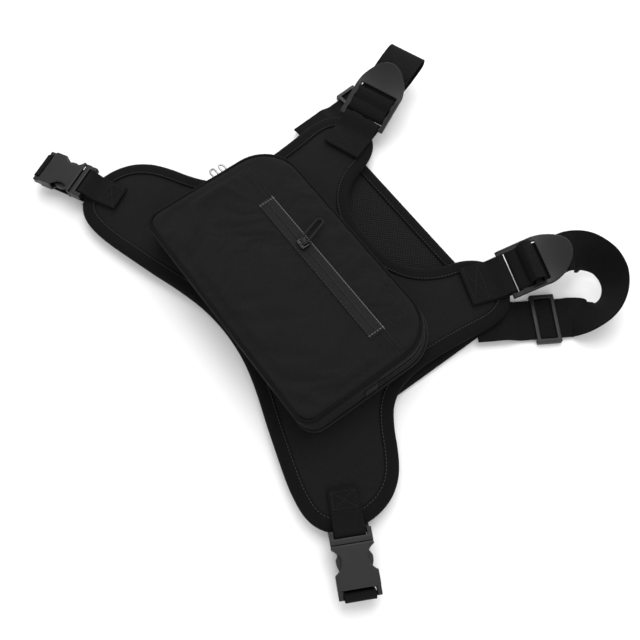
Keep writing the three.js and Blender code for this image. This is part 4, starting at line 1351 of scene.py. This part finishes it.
def ladder_stretch(sign, hump):
    ux, uy = math.sin(lock_lean), math.cos(lock_lean)
    route = []
    for s, n in ladder_route(hump):
        run = s * math.cos(lock_tilt) - n * math.sin(lock_tilt)
        rise = s * math.sin(lock_tilt) + n * math.cos(lock_tilt)
        route.append([sign * (lock_x + ux * run), lock_y + uy * run, lock_z + rise, sign * uy, -ux, 0])
    return route


def seat_stretch(x, y, heading):
    dx, dy = math.sin(math.radians(heading)), math.cos(math.radians(heading))
    return [[x + s * dx, y + s * dy, 3.4, dy, -dx, 0] for s in (-25, -18, 18, 25)]


# %% Shoulder straps
right_seat = (154.5, 166.5)
right_route = ladder_stretch(1, 8) + [
    [128, 220, 31.5, 0.75, -0.42, -0.5], [136, 231, 27.5, 0.35, -0.35, -0.87],
    [150, 238, 23.5, 0.03, -0.34, -0.94], [165, 235, 21, -0.14, -0.31, -0.94],
    [177, 223, 19, -0.38, -0.18, -0.9], [181, 208, 16, -0.64, 0.06, -0.77],
    [176.5, 195.5, 9.8, -0.8, 0.37, -0.47]] + seat_stretch(*right_seat, 212) + [
    [134.8, 135, strap_on_back, -0.85, 0.53, 0], [130, 127.2, strap_on_back, -0.85, 0.53, 0],
    [121, 112.7, strap_on_back, -0.85, 0.53, 0]]
left_route = ladder_stretch(-1, 0) + [
    [-132, 233, 37, -0.94, -0.34, 0], [-134.5, 240, 35, -0.94, -0.34, 0], [-134.5, 240, 29, -0.95, -0.3, 0],
    [-132.5, 228, 19, -0.97, -0.2, 0], [-131.5, 214, 9, -0.99, -0.1, 0]] + seat_stretch(-130, 178, 176) + [
    [-127.6, 143, strap_on_back, -1, -0.07, 0], [-127, 135, strap_on_back, -1, -0.07, 0],
    [-125, 108, strap_on_back, -1, -0.07, 0]]
strap_steps = 360
ladder_points = 17
for side, sign, route in (("left", -1, left_route), ("right", 1, right_route)):
    split = int(strap_steps * (ladder_points - 1) / (len(route) - 1))
    in_lock = ribbon(f"shoulder_strap_{side}_in_lock", route, shoulder_web, strap_steps, last=split + 1)
    finish_piece(in_lock, f"ladder_lock_{side}", "webbing", f"shoulder_strap_{side}")
    free = ribbon(f"shoulder_strap_{side}_free", route, shoulder_web, strap_steps, first=split)
    if side == "left":
        start, end = (-130, 200, 5), (-130, 200, 30)
    else:
        outward = np.array([math.sin(lock_lean), math.cos(lock_lean), 0])
        slider_middle = np.array([*right_seat, 15.0])
        start, end = slider_middle + 14.2 * outward, slider_middle + 30 * outward
    tuple(to_frame(start))
    tuple(to_frame(end))
    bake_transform(free)
    finish_piece(free, None, "webbing")
    place = lock_place(sign)
    anchor = ribbon(f"shoulder_anchor_{side}_web", anchor_route(38), shoulder_web, 150, place)
    finish_piece(anchor, "vest", "webbing", f"shoulder_anchor_{side}")

# %% [markdown]
# ### Ladder locks and strap sliders
# Moulded parts have soft edges and a smooth curled tab. A copy of each lock gets its side rails as
# plain blocks, is remeshed as one skin and smoothed, and the tab is curled by moving its points.

# %% Ladder locks
def curl_tab(sign):
    turn = lock_place(sign) @ Matrix.Rotation(lock_tilt, 4, "X")
    back = np.array(turn.inverted())

    def bend(spots):
        local = spots @ back[:3, :3].T + back[:3, 3]
        past = np.clip(local[:, 1] - lock_frame_length + 4, 0, None)
        dome = np.where(past > 0, local[:, 0] ** 2 * past / lock_tab_length, 0)
        local[:, 2] += 0.004 * past ** 2 - 0.006 * dome
        return placed(local, turn)

    return turn, bend


half_lock = shoulder_web / 2 + 0.6 + 4.4
for side, sign in (("left", -1), ("right", 1)):
    tab_place, bend = curl_tab(sign)
    rail = (1.6, lock_frame_length, 0.8)
    rails = [(rail, (edge * (half_lock - 0.9), lock_frame_length / 2, 1.6)) for edge in (-1, 1)]
    moulded_copy(f"ladder_lock_{side}_body", f"ladder_lock_{side}", 0.5, 4, moulded, f"ladder_lock_{side}",
                 "plastic", rails, tab_place, bend)
    moulded_copy(f"shoulder_slider_{side}_body", f"shoulder_slider_{side}", 0.45, 3, moulded,
                 f"shoulder_slider_{side}", "plastic")

# %% [markdown]
# ## Side buckles
# The side-release buckle has a plug with two spring prongs, and a waisted socket whose finger
# notches show the prongs. The side strap goes round the socket's bar and back under the vest.

# %% Side straps and buckles
buckle_x, buckle_y = 202.0, -90.0
buckle_turn, buckle_dip = math.radians(27.5), math.radians(5)
buckle_height, socket_length = 11.0, 34.0
mouth_at = wrap_radius + web_thickness / 2 + clearance + 5 + clearance
socket_bar_at = mouth_at + socket_length + web_thickness + wrap_radius + clearance
side_slider_z = 5.1


def buckle_place(sign):
    """The frame of a buckle's bar on a side, with +Y away from the vest."""
    spot = Matrix.Translation((sign * buckle_x, buckle_y, lock_z))
    return spot @ Matrix.Rotation(-sign * (math.pi / 2 + buckle_turn), 4, "Z")


def side_strap_route():
    tail_z = -buckle_height / 2 - web_step
    end = mouth_at + socket_length
    on_socket = [(end - 9, tail_z), (end - 3, tail_z), (end + 0.9, tail_z + 0.4)]
    for turn in range(7):
        angle = math.pi * (1.1 - turn / 6 * 1.1)
        on_socket.append((socket_bar_at + wrap_radius * math.cos(angle), wrap_radius * math.sin(angle)))
    dip_cos, dip_sin = math.cos(buckle_dip), math.sin(buckle_dip)
    route = [(s * dip_cos + z * dip_sin, z * dip_cos - s * dip_sin) for s, z in on_socket]
    run_z, top_z = side_slider_z - lock_z, strap_on_back - lock_z
    route += [(socket_bar_at + 1, run_z + 4), (socket_bar_at - 5, run_z), (socket_bar_at - 18, run_z),
              (10, run_z), (-34, run_z), (-46, run_z), (-66, top_z), (-76, top_z), (-105, top_z)]
    return crossed(route)


for side, sign in (("left", -1), ("right", 1)):
    place = buckle_place(sign)
    anchor = ribbon(f"side_anchor_{side}_web", anchor_route(36), side_web, 150, place)
    finish_piece(anchor, "vest", "webbing", f"side_anchor_{side}")
    strap = ribbon(f"side_strap_{side}_web", side_strap_route(), side_web, 300, place)
    start, end = placed([[0, 14, 0], [0, 42, 0]], place)
    tuple(to_frame(start))
    tuple(to_frame(end))
    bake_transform(strap)
    finish_piece(strap, None, "webbing", f"side_strap_{side}")
    slider = f"side_slider_{side}"
    moulded_copy(f"{slider}_body", slider, 0.45, 3, moulded, slider, "plastic")
    moulded_copy(f"buckle_plug_{side}_body", f"buckle_plug_{side}", 0.45, 3, moulded, "vest", "plastic")
    for edge in ("neck", "hem"):
        moulded_copy(f"buckle_prong_{edge}_{side}_body", f"buckle_prong_{edge}_{side}", 0.35, 3, moulded,
                     f"buckle_prong_{edge}_{side}", "plastic")
    socket = f"buckle_socket_{side}"
    moulded_copy(f"{socket}_body", socket, 0.5, 4, moulded, socket, "plastic")


# %% [markdown]
# ### Box stitches
# Each anchor is sewn down with a rectangle and a cross of thick thread.

# %% Box stitches on the anchors
def box_stitches(name, matrix, width, length, level):
    near, far = -length + 3, -length + 17
    half = width / 2 - 3
    spots = [(-half, near), (half, near), (half, far), (-half, far), (-half, near), (half, far),
             (half, near), (-half, far)]
    sides = [np.linspace(a, b, 8, endpoint=False) for a, b in zip(spots[:-1], spots[1:])]
    line = np.vstack(sides + [[spots[-1]]])
    path = placed(np.column_stack([line, np.full(len(line), level)]), matrix)
    stitches = row(name, path, (0, 0, 1), 2.9, (2.2, 0.6, 0.5), dark_thread, seed=6)
    finish_piece(stitches, "vest", "binding_tape")


anchor_top = web_thickness + clearance - wrap_radius + web_thickness / 2
for side, sign in (("left", -1), ("right", 1)):
    box_stitches(f"shoulder_box_stitch_{side}", lock_place(sign), shoulder_web, 38, anchor_top)
    box_stitches(f"side_box_stitch_{side}", buckle_place(sign), side_web, 36, anchor_top)
